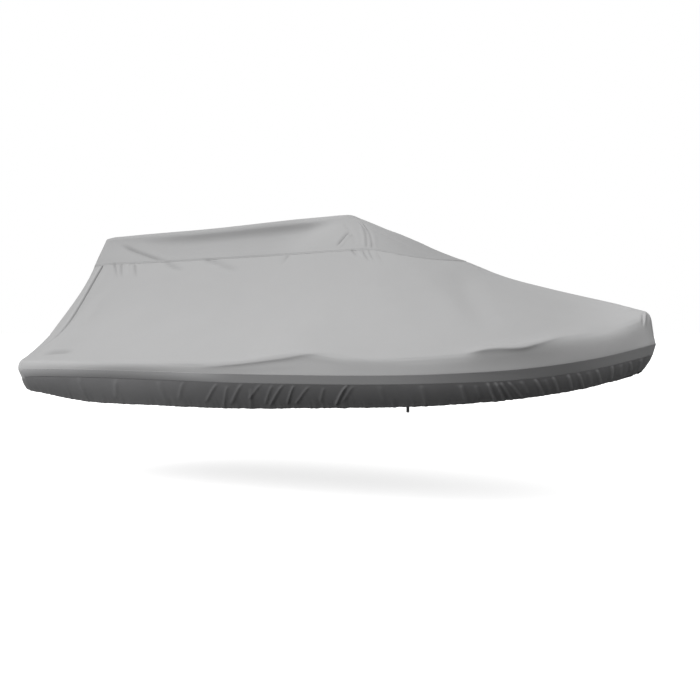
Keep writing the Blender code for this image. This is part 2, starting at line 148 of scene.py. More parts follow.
def controls(q):
    """Control points of the bends from the centreline of the roof down to the hem, starboard."""
    c = {n: column(n, q) for n in COLUMNS}
    lo, hi = np.clip(q - 1e-4, 0, ROUND), np.clip(q + 1e-4, 0, ROUND)
    along = [column(n, hi) - column(n, lo) for n in ("x", "y")]
    out = unit(np.stack([-along[1], along[0], 0 * along[0]], 1))
    lean, crisp, steep = c["ln"][:, None], c["cr"][:, None], c["rs"][:, None]
    ridge = np.stack([c["rx"], c["ry"], c["rz"]], 1)
    seam = np.stack([c["sx"], c["sy"], c["sz"]], 1)
    knee = np.stack([c["kx"], c["ky"], c["kz"]], 1)
    top = np.stack([c["x"], c["y"], c["zb"]], 1)
    shoulder = top - out * c["si"][:, None] + UP * c["sh"][:, None]
    hem = top - out * c["hi"][:, None] - UP * c["hd"][:, None]
    wide = BAND_WIDTH + BAND_BOW * fade((c["x"] - 1.9) / 1.0)
    flare = BAND_FLARE * fade((c["x"] + 0.9) / 1.5)
    low = (top + (hem - top) * (wide / np.hypot(c["hi"], c["hd"]))[:, None]
           + out * flare[:, None])
    to_seam, to_knee, to_shoulder = unit(seam - ridge), unit(knee - seam), unit(shoulder - knee)
    at_ridge = unit(to_seam - steep * to_seam[:, 1:2] ** 2 * UP)
    swell = 0.25 - 0.40 * fade((q - RUN[4]) / (RUN[6] - RUN[4])) - 0.13 * fade((q - CORNER + 0.3) / 0.35)
    taut = np.exp(-((q - CORNER) / SEAM_TAUT) ** 2)[:, None]
    at_seam = unit(to_seam + to_knee + swell[:, None] * out)
    from_seam = unit(at_seam + taut * (to_knee - at_seam))
    at_knee = unit(to_knee + (1 - 0.5 * taut) * to_shoulder)
    a, b, k, d, e, f = (gap(ridge, seam) / 3, gap(seam, knee) / 3, gap(knee, shoulder) / 3,
                        gap(shoulder, top), (low - top) / 3, gap(low, hem))
    rise = RIDGE_RISE * fade(np.minimum(TABLE["rx"][0] - c["rx"], c["rx"] - TABLE["rx"][-1])
                             / RIDGE_FADE)
    crest = ridge * (1, 0, 1) + rise[:, None] * UP
    bend = np.minimum(0.35 * np.abs(ridge[:, 1:2]), RIDGE_ROUND)
    return np.array([
        (crest, crest + (ridge - crest) * (1, 0.5, 0), ridge - at_ridge * bend, ridge),
        (ridge, ridge + at_ridge * a, seam - at_seam * a, seam),
        (seam, seam + from_seam * b, knee - at_knee * b, knee),
        (knee, knee + at_knee * k, shoulder - to_shoulder * k, shoulder),
        (shoulder, shoulder + to_shoulder * d * (0.38 - 0.23 * crisp),
         top + UP * d * (0.55 + 0.25 * crisp) - out * lean, top),
        (top, top + e, low - e, low),
        (low, low + (hem - low) / 3 + out * f * 0.10, low + (hem - low) * 2 / 3 + out * f * 0.08,
         hem),
    ])


def patch(q, v):
    """The cover without its folds, at distances q round it and heights v, as rows of points.
    q runs from 0 at the nose to ROUND at the stern on the starboard side, and its negative is the
    same place on the port side.  v is -1 on the centreline of the roof, 0 at the ridge's edge, 1 at
    the cap seam, 2 at the knee, 3 at the shoulder, 4 and 5 at the band's edges and 6 at the hem."""
    turn = (q + ROUND) % (2 * ROUND) - ROUND
    bends = {side: None for side in (1, -1)}
    side = np.where(turn < 0, -1.0, 1.0)
    bends = controls(np.abs(turn))
    grid = np.empty((len(v), len(q), 3))
    for i, h in enumerate(v):
        h, flip = (h, 1) if h >= -1 else (-2 - h, -1)
        k = int(np.clip(math.floor(h) + 1, 0, 6))
        w = h - (k - 1)
        p0, p1, p2, p3 = bends[k]
        row = ((1 - w) ** 3 * p0 + 3 * w * (1 - w) ** 2 * p1 + 3 * w * w * (1 - w) * p2
               + w ** 3 * p3)
        grid[i] = row * np.stack([np.ones_like(side), side * flip, np.ones_like(side)], 1)
    return grid


def grid_normals(p):
    """Outward unit normal at each grid point, from the cells round it.  Points that coincide, as on
    the centreline, share theirs."""
    cell = np.cross(p[1:, 1:] - p[:-1, :-1], p[1:, :-1] - p[:-1, 1:])
    total = np.zeros_like(p)
    for i in (0, 1):
        for j in (0, 1):
            total[i:p.shape[0] - 1 + i, j:p.shape[1] - 1 + j] += cell
    flat = p.reshape(-1, 3)
    _, same = np.unique(np.round(flat * 2e4).astype(np.int64), axis=0, return_inverse=True)
    same = same.ravel()
    sums = np.zeros((same.max() + 1, 3))
    np.add.at(sums, same, total.reshape(-1, 3))
    return unit(sums[same]).reshape(p.shape)


# ------------------------------------------------------------------ folds
# Soft troughs (depth > 0) and ridges (depth < 0) along a path of points on the starboard side.
# width: half width where the fold has a third of its depth.  start, end: share of its length over
# which it fades in and out.  shade: how much painted shade darkens its cloth (+), or painted
# highlight lightens it on a ridge (-).
NARROW, BROAD = 1.30, 1.25  # how much deeper than in the table narrow and broad folds are
SOFT_COLUMNS = ("path", "width", "depth", "start", "end", "shade")
SOFT = [
    # the edge of the fold over the bow, forward of where it is crisp
    (((2.984, -0.616, 1.374), (3.090, -0.496, 1.407), (3.210, -0.359, 1.440), (3.330, -0.221, 1.468)), 0.045, 0.006, 0.5, 0.5, 0),
    # down the foredeck
    (((1.904, -0.276, 1.949), (2.141, -0.555, 1.699), (2.339, -0.748, 1.501), (2.461, -0.870, 1.380)), 0.11, 0.012, 0.3, 0.3, 0),
    (((1.306, -0.483, 2.019), (1.614, -0.644, 1.760), (1.910, -0.833, 1.520), (2.105, -0.992, 1.361)), 0.12, 0.005, 0.3, 0.4, 0),
    # light triangle under the middle fold
    (((0.198, -1.226, 1.080), (0.422, -1.226, 1.102), (0.626, -1.226, 1.119), (0.883, -1.224, 1.141), (1.083, -1.224, 1.158)), 0.024, -0.0015, 0.3, 0.3, 0),
    # diagonal across the roof, aft, and on below the seam
    (((-1.540, -0.272, 2.213), (-1.474, -0.288, 2.193), (-1.220, -0.359, 2.125), (-0.941, -0.434, 2.049), (-0.805, -0.450, 2.030)), 0.02, 0.012, 0.25, 0.3, 0.26),
    (((-1.398, -0.273, 2.225), (-1.134, -0.328, 2.164), (-0.874, -0.406, 2.088), (-0.746, -0.440, 2.049)), 0.035, -0.004, 0.3, 0.3, 0),
    (((-0.900, -0.449, 2.027), (-0.743, -0.487, 1.970), (-0.591, -0.514, 1.931)), 0.022, 0.008, 0.3, 0.5, 0.14),
    # dips below the seam
    (((-0.458, -0.451, 2.043), (-0.331, -0.473, 2.009), (-0.205, -0.492, 1.980)), 0.024, 0.009, 0.3, 0.4, 0.12),
    (((-0.293, -0.479, 2.000), (-0.133, -0.510, 1.951), (0.005, -0.525, 1.930)), 0.026, 0.007, 0.3, 0.5, 0.1),
    (((0.441, -0.458, 2.059), (0.404, -0.491, 2.001), (0.388, -0.508, 1.970)), 0.012, 0.007, 0.2, 0.5, 0.14),
    # short crease on the roof, by the peak, with painted shade in it, and its light right side, a ridge with
    # painted highlight
    (((0.942, -0.274, 2.265), (0.918, -0.365, 2.195), (0.883, -0.429, 2.118)), 0.01, 0.0095, 0.25, 0.25, 0.3),
    (((0.969, -0.279, 2.256), (0.946, -0.362, 2.196), (0.919, -0.436, 2.107)), 0.012, -0.006, 0.25, 0.25, -0.1),
    # folds that fan out from the peak
    (((0.876, -0.104, 2.389), (0.985, -0.162, 2.327), (1.073, -0.285, 2.227), (1.151, -0.434, 2.099)), 0.013, -0.0034, 0.15, 0.1, -0.05),
    (((0.897, -0.105, 2.383), (1.011, -0.175, 2.311), (1.107, -0.296, 2.212), (1.178, -0.432, 2.098)), 0.009, 0.005, 0.2, 0.1, 0.1),
    (((0.914, -0.091, 2.379), (1.053, -0.200, 2.284), (1.142, -0.306, 2.197), (1.203, -0.427, 2.098)), 0.01, -0.003, 0.15, 0.1, -0.05),
    (((0.968, -0.099, 2.356), (1.085, -0.215, 2.265), (1.179, -0.344, 2.165), (1.227, -0.427, 2.093)), 0.009, 0.005, 0.2, 0.1, 0.1),
    (((1.057, -0.129, 2.314), (1.156, -0.247, 2.225), (1.222, -0.357, 2.146), (1.264, -0.429, 2.083)), 0.013, -0.0028, 0.3, 0.15, 0),
    (((0.826, -0.191, 2.356), (0.933, -0.263, 2.274), (1.031, -0.363, 2.186), (1.076, -0.433, 2.108)), 0.018, 0.003, 0.3, 0.2, 0),
    # their ends, gathered in just below the seam
    (((1.035, -0.441, 2.098), (1.075, -0.464, 2.059), (1.116, -0.482, 2.030)), 0.009, 0.005, 0.2, 0.5, 0.14),
    (((1.083, -0.438, 2.100), (1.135, -0.470, 2.050), (1.186, -0.501, 2.001)), 0.01, -0.003, 0.2, 0.5, -0.05),
    (((1.139, -0.439, 2.094), (1.191, -0.482, 2.030), (1.251, -0.521, 1.970)), 0.009, 0.0048, 0.2, 0.5, 0.14),
    (((1.193, -0.438, 2.089), (1.243, -0.481, 2.030), (1.305, -0.519, 1.971)), 0.009, 0.0042, 0.2, 0.5, 0.12),
    (((1.264, -0.435, 2.078), (1.328, -0.488, 2.009), (1.388, -0.527, 1.950)), 0.012, 0.0025, 0.2, 0.5, 0.06),
    # puckers below the seam near the corner
    (((-1.485, -0.421, 2.038), (-1.416, -0.483, 1.940), (-1.355, -0.538, 1.851)), 0.012, 0.0085, 0.2, 0.6, 0.2),
    (((-1.394, -0.431, 2.029), (-1.351, -0.486, 1.941), (-1.291, -0.541, 1.851)), 0.012, 0.008, 0.2, 0.6, 0.18),
    (((-1.232, -0.442, 2.020), (-1.184, -0.490, 1.941), (-1.126, -0.545, 1.852)), 0.012, 0.0085, 0.2, 0.6, 0.2),
    (((-1.312, -0.434, 2.029), (-1.271, -0.495, 1.930), (-1.225, -0.536, 1.861)), 0.013, -0.004, 0.2, 0.6, -0.05),
    # above the full, rounded stern end
    (((-1.789, -1.093, 1.168), (-1.714, -1.085, 1.190), (-1.609, -1.084, 1.205), (-1.503, -1.088, 1.211), (-1.378, -1.099, 1.210)), 0.028, 0.0145, 0.35, 0.4, 0.18),
    (((-1.976, -0.817, 1.290), (-1.706, -0.933, 1.306), (-1.482, -0.948, 1.328), (-1.284, -0.952, 1.340)), 0.055, -0.004, 0.4, 0.4, 0),
    # pulls beside the corner seam
    (((-1.543, -0.544, 1.826), (-1.619, -0.641, 1.656), (-1.698, -0.747, 1.488), (-1.733, -0.902, 1.323)), 0.045, 0.007, 0.4, 0.4, 0),
    (((-1.385, -0.568, 1.801), (-1.481, -0.695, 1.599), (-1.505, -0.865, 1.399)), 0.06, -0.004, 0.4, 0.4, 0),
    # end of the foredeck, near the nose
    (((3.216, -0.025, 1.616), (3.275, -0.045, 1.599), (3.341, -0.058, 1.580)), 0.016, -0.004, 0.4, 0.4, 0),
    # edges down the nose
    (((3.392, -0.062, 1.564), (3.405, -0.112, 1.507), (3.410, -0.139, 1.445)), 0.007, 0.0055, 0.3, 0.4, 0.12),
    (((3.412, 0.000, 1.565), (3.434, -0.074, 1.498), (3.443, -0.094, 1.406)), 0.011, 0.006, 0.3, 0.4, 0.13),
    (((3.401, -0.033, 1.569), (3.418, -0.098, 1.507), (3.422, -0.124, 1.437)), 0.007, -0.005, 0.3, 0.4, -0.08),
    (((3.439, -0.004, 1.529), (3.456, -0.010, 1.435), (3.476, -0.027, 1.327)), 0.012, 0.006, 0.3, 0.3, 0.2),
    # long faint slack in the big side panel
    (((-0.949, -0.532, 1.883), (-0.595, -0.798, 1.519), (-0.334, -1.021, 1.321)), 0.11, 0.003, 0.4, 0.4, 0),
    (((0.014, -0.543, 1.901), (0.070, -0.772, 1.580), (0.220, -1.020, 1.340)), 0.12, 0.003, 0.4, 0.4, 0),
    (((0.940, -0.542, 1.931), (1.073, -0.747, 1.640), (1.286, -0.995, 1.400)), 0.11, 0.0035, 0.4, 0.4, 0),
    (((1.557, -0.434, 1.999), (1.946, -0.628, 1.700), (2.269, -0.852, 1.439)), 0.08, -0.004, 0.4, 0.4, 0),
    # fullness along the middle of the foredeck
    (((2.259, -0.033, 1.852), (2.469, -0.024, 1.792), (2.718, -0.022, 1.730), (2.968, -0.030, 1.672), (3.141, -0.019, 1.633), (3.270, -0.034, 1.602), (3.353, -0.027, 1.583)), 0.1, -0.005, 0.3, 0.2, 0),
    # a small wrinkle on the end of the foredeck
    (((3.210, 0.000, 1.618), (3.261, -0.016, 1.606), (3.306, -0.044, 1.592)), 0.01, 0.006, 0.3, 0.3, 0.14),
    (((3.234, -0.065, 1.603), (3.271, -0.067, 1.593), (3.312, -0.069, 1.581)), 0.01, -0.0045, 0.3, 0.3, -0.06),
    # slight fullness and slack down the middle of the front slope
    (((1.116, -0.001, 2.305), (1.212, 0.000, 2.265), (1.321, 0.000, 2.219), (1.472, 0.000, 2.157), (1.656, 0.000, 2.082)), 0.09, -0.0085, 0.35, 0.4, 0),
    (((1.845, 0.000, 2.012), (2.030, -0.012, 1.939), (2.206, -0.021, 1.869)), 0.08, 0.005, 0.4, 0.4, 0),
]
# Creases with one crisp edge: the cloth above rolls over (lift) and then drops into a trough (dip)
# on the lower side.  above, roll, below: how wide the lift is above the edge, how tight the roll
# is, and how far below the edge the trough is deepest.  sharp: 0 for a rounded edge, 1 for a crisp
# one.  shade: how much painted shade darkens the cloth just below the edge.
CRISP_COLUMNS = ("path", "lift", "dip", "above", "roll", "below", "start", "end", "sharp",
                 "shade")
CRISP = [
    # over the bow: the fullness of the cloth, and the crisp start of the drop below it
    (((2.015, -1.166, 1.222), (2.197, -1.118, 1.238), (2.389, -1.043, 1.265), (2.537, -0.976, 1.280), (2.688, -0.893, 1.292), (2.763, -0.834, 1.312), (2.823, -0.778, 1.332), (2.909, -0.677, 1.367), (3.048, -0.514, 1.414), (3.179, -0.357, 1.454)), 0.018, 0.0, 0.08, 0.075, 0.03, 0.35, 0.4, 0.0, 0.03),
    (((2.279, -1.088, 1.251), (2.388, -1.043, 1.266), (2.516, -0.984, 1.281), (2.611, -0.938, 1.286), (2.688, -0.892, 1.293), (2.763, -0.834, 1.314), (2.822, -0.777, 1.333), (2.909, -0.677, 1.367), (2.989, -0.581, 1.396)), 0.021, 0.008, 0.045, 0.055, 0.022, 0.2, 0.55, 1.0, 0.44),
    # over the middle
    (((-0.095, -1.229, 1.094), (0.240, -1.227, 1.127), (0.514, -1.225, 1.157), (0.702, -1.224, 1.181), (0.838, -1.223, 1.199), (0.971, -1.220, 1.224), (1.076, -1.214, 1.238), (1.186, -1.204, 1.240), (1.358, -1.198, 1.228), (1.535, -1.210, 1.202), (1.704, -1.208, 1.175)), 0.012, 0.008, 0.05, 0.06, 0.03, 0.3, 0.4, 0.4, 0.0),
]
PORT_FOLD = 0.7           # port has the same folds, a little shallower
# the long sag of the roof under the edge of the ridge: how deep, how far below the edge it starts
# and is deepest, and where it begins and ends along the cover
SAG = {"deep": 0.046, "from": 0.010, "at": 0.100, "aft": (-1.55, -0.55), "ahead": (0.45, 0.86)}


def path_line(path):
    """A smooth line through the points of a path, as many short legs."""
    p = np.array(path, float)
    p = np.vstack([2 * p[0] - p[1], p, 2 * p[-1] - p[-2]])
    line = []
    for i in range(1, len(p) - 2):
        for w in np.arange(6) / 6:
            line.append(0.5 * (2 * p[i] + (p[i + 1] - p[i - 1]) * w
                               + (2 * p[i - 1] - 5 * p[i] + 4 * p[i + 1] - p[i + 2]) * w * w
                               + (3 * p[i] - p[i - 1] - 3 * p[i + 1] + p[i + 2]) * w ** 3))
    return np.array(line + [p[-2]])


def nearest(points, normals, path, reach):
    """For the points within reach of the path: which they are, how far along it (0 to 1), and how
    far beside it within the surface, positive on the lower or right side."""
    line = path_line(path)
    lo, hi = line.min(0) - reach, line.max(0) + reach
    near = np.flatnonzero(((points > lo) & (points < hi)).all(1))
    p, n = points[near], normals[near]
    length = np.concatenate([[0], np.cumsum(np.linalg.norm(np.diff(line, axis=0), axis=1))])
    best = np.full(len(p), 9.0)
    share, beside = np.zeros(len(p)), np.zeros(len(p))
    for i in range(len(line) - 1):
        leg = line[i + 1] - line[i]
        w = np.clip((p - line[i]) @ leg / (leg @ leg), 0, 1)
        r = p - line[i] - w[:, None] * leg
        r = r - n * np.clip((r * n).sum(1), -0.05, 0.05)[:, None]
        far = np.linalg.norm(r, axis=1)
        hit = far < best
        sign = np.sign((r * np.cross(unit(leg), n)).sum(1))
        best[hit] = far[hit]
        share[hit] = ((length[i] + w * (length[i + 1] - length[i])) / length[-1])[hit]
        beside[hit] = (sign * far)[hit]
    return near, share, beside


def folds(points, normals):
    """Height of the folds at points of the starboard side, outward, and their painted shade and highlight there.
    """
    high, tone = np.zeros(len(points)), np.zeros(len(points))
    for path, width, depth, start, end, shade in SOFT:
        near, share, beside = nearest(points, normals, path, 3 * width)
        ends = fade(share / start) * fade((1 - share) / end)
        deep = depth * (NARROW if width < 0.030 else BROAD)
        high[near] -= deep * ends * np.exp(-(beside / width) ** 2)
        # painted shade in a trough, painted highlight on a ridge
        tone[near] -= shade * ends * np.exp(-(beside / (0.8 * width)) ** 2)
    for path, lift, dip, above, roll, below, start, end, sharp, shade in CRISP:
        near, share, beside = nearest(points, normals, path, max(3 * above, 6 * below))
        ends = fade(share / start) * fade((1 - share) / end)
        s = np.maximum(beside, 0)
        rise = lift * np.exp(-(beside / np.where(beside < 0, above, roll)) ** 2)
        rise = np.where(beside > 0, (1 - sharp) * rise + sharp * lift * np.exp(-s / roll), rise)
        high[near] += ends * (rise - dip * (s / below) * np.exp(1 - s / below))
        # painted shade just below the crisp edge
        tone[near] -= shade * ends * fade(s / 0.008) * np.exp(-s / 0.034)
    return high, tone


def mirrored_folds(points, normals):
    """Height and painted shade and highlight of the folds at points of either side, as grids."""
    shape = points.shape[:2]
    flip = np.stack([np.ones(shape), np.where(points[..., 1] > 0, -1, 1), np.ones(shape)], -1)
    both = folds((points * flip).reshape(-1, 3), (normals * flip).reshape(-1, 3))
    beside = fade(np.abs(points[..., 1]) / 0.06)
    even = (1 + PORT_FOLD) / 2
    share = even + (np.where(points[..., 1] > 0, PORT_FOLD, 1.0) - even) * beside
    return [part.reshape(shape) * share for part in both]


# Gathers of the skirt, by place: where they leave the band (x), how far their lower end lies behind
# (-) or ahead of (+) that, half width, height, where on the skirt they start and end (band 5, hem 6),
# and how much painted highlight lightens the cloth on them, with painted shade beside them.
GATHER_COLUMNS = ("x", "lean", "width", "height", "start", "end", "painted_light_and_tone")
GATHERS = [
    #  x      lean   width  height start end   painted highlight
    (-1.30, .040, .022, .0040, 5.0, 5.7, .04), (-.86, -.080, .024, .0045, 5.0, 5.8, .05),
    (-.42, .050, .022, .0045, 5.1, 5.9, .06), (-.15, -.120, .018, .0050, 5.0, 5.7, .08),
    (.193, -.203, .015, .0070, 5.1, 5.75, .16), (.300, -.110, .013, .0060, 5.2, 5.9, .14),
    (.429, -.181, .016, .0075, 5.05, 5.8, .18), (.520, -.060, .013, .0060, 5.3, 5.9, .12),
    (.610, -.230, .014, .0070, 5.0, 5.6, .15), (.720, -.140, .013, .0065, 5.1, 5.8, .14),
    (.815, -.192, .014, .0080, 5.05, 5.85, .22), (.916, -.128, .012, .0080, 5.1, 5.8, .22),
    (1.060, -.210, .014, .0065, 5.15, 5.8, .14), (1.190, -.100, .013, .0055, 5.2, 5.7, .10),
    (1.378, -.155, .013, .0110, 5.0, 5.85, .42), (1.440, -.170, .016, .0050, 5.1, 5.7, .08),
    (1.650, .020, .022, .0035, 5.1, 5.8, .05), (1.980, .040, .020, .0045, 5.1, 5.9, .08),
    (2.270, .051, .016, .0070, 5.15, 5.95, .20), (2.370, .060, .015, .0050, 5.2, 5.8, .12),
    (2.460, .072, .0125, .0105, 5.05, 6.0, .42), (2.513, .087, .0115, .0110, 5.05, 6.0, .46),
    (2.548, .106, .0115, .0100, 5.1, 6.0, .40), (2.597, .145, .0125, .0100, 5.1, 5.95, .40),
    (2.680, .110, .016, .0060, 5.1, 5.8, .16), (2.776, .111, .0125, .0100, 5.0, 6.0, .42),
    (2.835, .090, .014, .0055, 5.2, 5.8, .14), (2.888, .097, .0120, .0100, 5.0, 5.95, .42),
    (2.980, .087, .0115, .0105, 5.0, 5.9, .46), (3.041, .102, .0115, .0105, 5.0, 6.0, .46),
    (3.100, .090, .015, .0055, 5.1, 5.8, .14), (3.153, .096, .0120, .0095, 5.0, 5.9, .38),
    (3.249, .047, .0120, .0100, 5.0, 5.85, .42), (3.300, .050, .015, .0050, 5.1, 5.8, .12),
    (3.357, .081, .0125, .0080, 5.0, 5.7, .30), (3.425, .030, .013, .0060, 5.0, 5.8, .20),
]


def place_of(x):
    """Distance round the outline at which the band's edge has this x, forward of the stern."""
    q = np.linspace(0, CORNER, 1200)
    return float(np.interp(-x, -column("x", q), q))


def gathers(a, vv):
    """Height of the skirt's gathers at distances a round the cover and heights vv, and how far
    each place is painted lighter, as highlight on a gather (+), or darker, as shade beside it (-)."""
    part, tone = np.zeros_like(a), np.zeros_like(a)
    for x, lean, width, height, start, end, painted_light_and_tone in GATHERS:
        b = a - (place_of(x) - lean * (vv - 5))
        ends = fade((vv - start + 0.12) / 0.15) * fade((end + 0.10 - vv) / 0.22)
        part += height * ends * np.exp(-(b / width) ** 2)
        # painted highlight along each gather, and painted shade beside it
        tone += painted_light_and_tone * ends * np.exp(-((b - 0.1 * width) / (0.8 * width)) ** 2)
        tone -= 0.45 * painted_light_and_tone * ends * np.exp(-((b + 1.7 * width) / width) ** 2)
    return part, tone


def seam_tone(q, v):
    """How far the cloth of a panel is painted darker, as shade in the folds at its seams, and painted lighter, as
    highlight beside them.
    """
    a, vv = np.meshgrid(np.abs((q + ROUND) % (2 * ROUND) - ROUND), v)
    seam = np.stack([column(n, a[0]) for n in ("sx", "sy", "sz")], 1)
    knee = np.stack([column(n, a[0]) for n in ("kx", "ky", "kz")], 1)
    d = (vv - 1) * np.linalg.norm(knee - seam, axis=1)
    along = ripple(a, 31.0, 0.11, 0.5)
    # painted shade: a thin dark line in the valley just below the cap seam
    tone = -0.55 * (0.75 + 0.5 * along) * np.exp(-((d - 0.0065) / 0.0036) ** 2)
    # painted shade: a dark line in the corner seam's valley, and a painted highlight strip on its stern side
    c = (CORNER - a) * np.clip(0.62 + 0.38 * (vv - 1) / 3, 0.62, 1.0)
    down = fade((vv - 1.0) / 0.04) * fade((2.16 - vv) / 0.45)
    tone -= 0.72 * down * np.exp(-((c - 0.004) / 0.0090) ** 2)
    tone += 0.09 * down * np.exp(-((c + 0.022) / 0.013) ** 2)
    # painted light on the lower aft side panels, where the cloth turns under into shade, and darker below the
    # fold at the foot of the stern
    tone += ((0.15 * fade((vv - 3.2) / 0.4) + 0.20 * fade((vv - 3.55) / 0.4))
             * fade((-0.7 - column("x", a[0])) / 0.8) * (vv < 4.3))
    tone -= 0.55 * fade((vv - 4.90) / 0.25)
    return np.maximum(tone + fold_tone(q, v), -0.85)


def fold_tone(q, v):
    """How far the cloth is painted darker, as shade, or lighter, as highlight, at the folds themselves."""
    plain = patch(q, v)
    return mirrored_folds(plain, grid_normals(plain))[1]


def ripple(q, seed, short, long):
    """An uneven wave between -1 and 1, the same each time."""
    total, weight = np.zeros_like(q), 0.0
    for k in range(5):
        pitch = short * (long / short) ** (k / 4)
        shift = math.sin(12.9898 * (seed + k * 1.7)) * 43758.5453 % 1.0
        total += math.sqrt(pitch) * np.sin(2 * math.pi * (q / pitch + shift
                                           + 0.35 * np.sin(2 * math.pi * q / (pitch * 3.7) + seed + k)))
        weight += math.sqrt(pitch)
    return total / weight * 1.6


def relief(points, normals, q, v):
    """Height of everything that stands out from the plain shape: folds, seams and gathers."""
    shape = points.shape[:2]
    qq, vv = np.meshgrid(q, v)
    turn = (qq + ROUND) % (2 * ROUND) - ROUND
    high = mirrored_folds(points, normals)[0]
    beside = fade(np.abs(points[..., 1]) / 0.06)
    a = np.abs(turn)
    flat = np.abs(turn[0])
    seam = np.stack([column(n, flat) for n in ("sx", "sy", "sz")], 1)
    ridge = np.stack([column(n, flat) for n in ("rx", "ry", "rz")], 1)
    knee = np.stack([column(n, flat) for n in ("kx", "ky", "kz")], 1)
    over, under = np.linalg.norm(ridge - seam, axis=1), np.linalg.norm(knee - seam, axis=1)
    # the sag of the roof under the ridge
    s = np.maximum(vv * over - SAG["from"], 0) / SAG["at"] * ((vv > 0) & (vv < 1))
    x = points[..., 0]
    here = (fade((x - SAG["aft"][0]) / (SAG["aft"][1] - SAG["aft"][0]))
            * fade((SAG["ahead"][1] - x) / (SAG["ahead"][1] - SAG["ahead"][0])))
    high -= SAG["deep"] * here * s * s * np.exp(2 - 2 * s) * fade((1 - vv) / 0.25)
    # the cap seam: a shallow valley on its lower side and small puckers on both
    d = np.where(vv < 1, (vv - 1) * over, (vv - 1) * under)
    high -= 0.0060 * np.exp(-((d - 0.0085) / 0.0062) ** 2)
    along = np.cumsum(np.concatenate([[0], np.linalg.norm(np.diff(seam, axis=0), axis=1)]))
    along = along * np.sign(turn[0].mean() + 1e-9) if turn[0].min() * turn[0].max() > 0 else along
    pucker = ripple(np.broadcast_to(along, shape) + 0.0, 3.0, 0.055, 0.21)
    near = np.exp(-(d / 0.060) ** 2) * beside
    high += 0.0011 * pucker * near
    # the corner seam: a valley on the side panel's side of it, deepest half way down
    c = (CORNER - a) * np.clip(0.62 + 0.38 * (vv - 1) / 3, 0.62, 1.0)
    down = fade((vv - 1.0) / 0.10) * fade((2.60 - vv) / 0.65)
    high -= 0.0170 * down * np.exp(-((c - 0.001) / 0.0105) ** 2)
    high -= 0.0060 * down * np.exp(-((c - 0.040) / 0.035) ** 2)
    high += 0.0030 * down * np.exp(-((c + 0.024) / 0.014) ** 2)
    # gathers of the skirt
    skirt = fade((vv - 4.98) / 0.22)
    low = fade((6.0 - vv) / 0.5)
    part = gathers(a, vv)[0]
    part += 0.0026 * ripple(a + 0.03 * (vv - 5), 7.0, 0.07, 0.33) * (1 - 0.5 * low)
    part += 0.0022 * ripple(a, 11.0, 0.038, 0.10) * (1 - low)
    high += np.where(vv > 4.98, skirt * part, 0)
    # soft unevenness of the panels
    wide = ripple(a + 0.12 * vv, 21.0, 0.33, 1.3) * ripple(2.6 * vv + 0.25 * a, 5.0, 1.1, 3.6)
    high += 0.0022 * wide * beside * fade((vv - 1.1) / 0.4) * fade((3.9 - vv) / 0.5)
    return high


def padded(row, low, high):
    return np.concatenate([[row[0] - low], row, [row[-1] + high]])


def surface(q, v):
    """Points and outward normals of the cover's outer face with its folds, as rows of points."""
    q2, v2 = padded(q, q[1] - q[0], q[-1] - q[-2]), padded(v, v[1] - v[0], v[-1] - v[-2])
    plain = patch(q2, v2)
    n = grid_normals(plain)
    p = plain + n * relief(plain, n, q2, v2)[..., None]
    return p[1:-1, 1:-1], grid_normals(p)[1:-1, 1:-1]


# ------------------------------------------------------------------ meshes
def lengths(p, axis):
    step = np.linalg.norm(np.diff(p, axis=axis), axis=2)
    zero = np.zeros_like(np.take(step, [0], axis))
    return np.cumsum(np.concatenate([zero, step], axis), axis)


def mesh_from(name, verts, quads, cloth_uv, mat, sharp=0.7, painted_light_and_tone=None):
    """A smooth mesh.  Points that coincide are joined and faces that lose their width dropped."""
    _, first, same = np.unique(np.round(verts * 1e5).astype(np.int64), axis=0,
                               return_index=True, return_inverse=True)
    same = same.ravel()
    verts, quads = verts[first], same[quads]
    rings = []
    uvs = []
    corner_uv = cloth_uv
    degenerate = np.zeros(len(quads), bool)
    for i in range(4):
        degenerate |= quads[:, i] == quads[:, (i + 1) % 4]
    whole = quads[~degenerate]
    loops = whole.ravel()
    sizes = np.full(len(whole), 4)
    uv_loops = corner_uv[~degenerate].reshape(-1, 2)
    odd, odd_uv, odd_size = [], [], []
    for ring, uv in zip(quads[degenerate], corner_uv[degenerate]):
        keep = [k for k in range(4) if ring[k] != ring[k - 1]]
        if len(keep) >= 3 and len({ring[k] for k in keep}) == len(keep):
            odd += [ring[k] for k in keep]
            odd_uv += [uv[k] for k in keep]
            odd_size.append(len(keep))
    if odd:
        loops = np.concatenate([loops, odd])
        uv_loops = np.concatenate([uv_loops, np.array(odd_uv)])
        sizes = np.concatenate([sizes, odd_size])
    mesh = bpy.data.meshes.new(name)
    mesh.vertices.add(len(verts))
    mesh.vertices.foreach_set("co", (verts - ORIGIN).astype(np.float32).ravel())
    mesh.loops.add(len(loops))
    mesh.loops.foreach_set("vertex_index", loops.astype(np.int32))
    mesh.polygons.add(len(sizes))
    starts = np.concatenate([[0], np.cumsum(sizes)[:-1]]).astype(np.int32)
    mesh.polygons.foreach_set("loop_start", starts)
    mesh.polygons.foreach_set("loop_total", sizes.astype(np.int32))
    layer = mesh.uv_layers.new(name="cloth")
    layer.uv.foreach_set("vector", uv_loops.astype(np.float32).ravel())
    # painted light and shade of the cloth, and its darker foot at the stern, kept as a point attribute
    if painted_light_and_tone is not None:
        tone = mesh.attributes.new(name="painted_light_and_tone", type="FLOAT", domain="POINT")
        tone.data.foreach_set("value", painted_light_and_tone[first].astype(np.float32))
    mesh.materials.append(mat)
    mesh.update(calc_edges=True)
    mesh.validate()
    mesh.shade_smooth()
    mesh.set_sharp_from_angle(angle=sharp)
    obj = bpy.data.objects.new(name, mesh)
    bpy.context.scene.collection.objects.link(obj)
    return obj


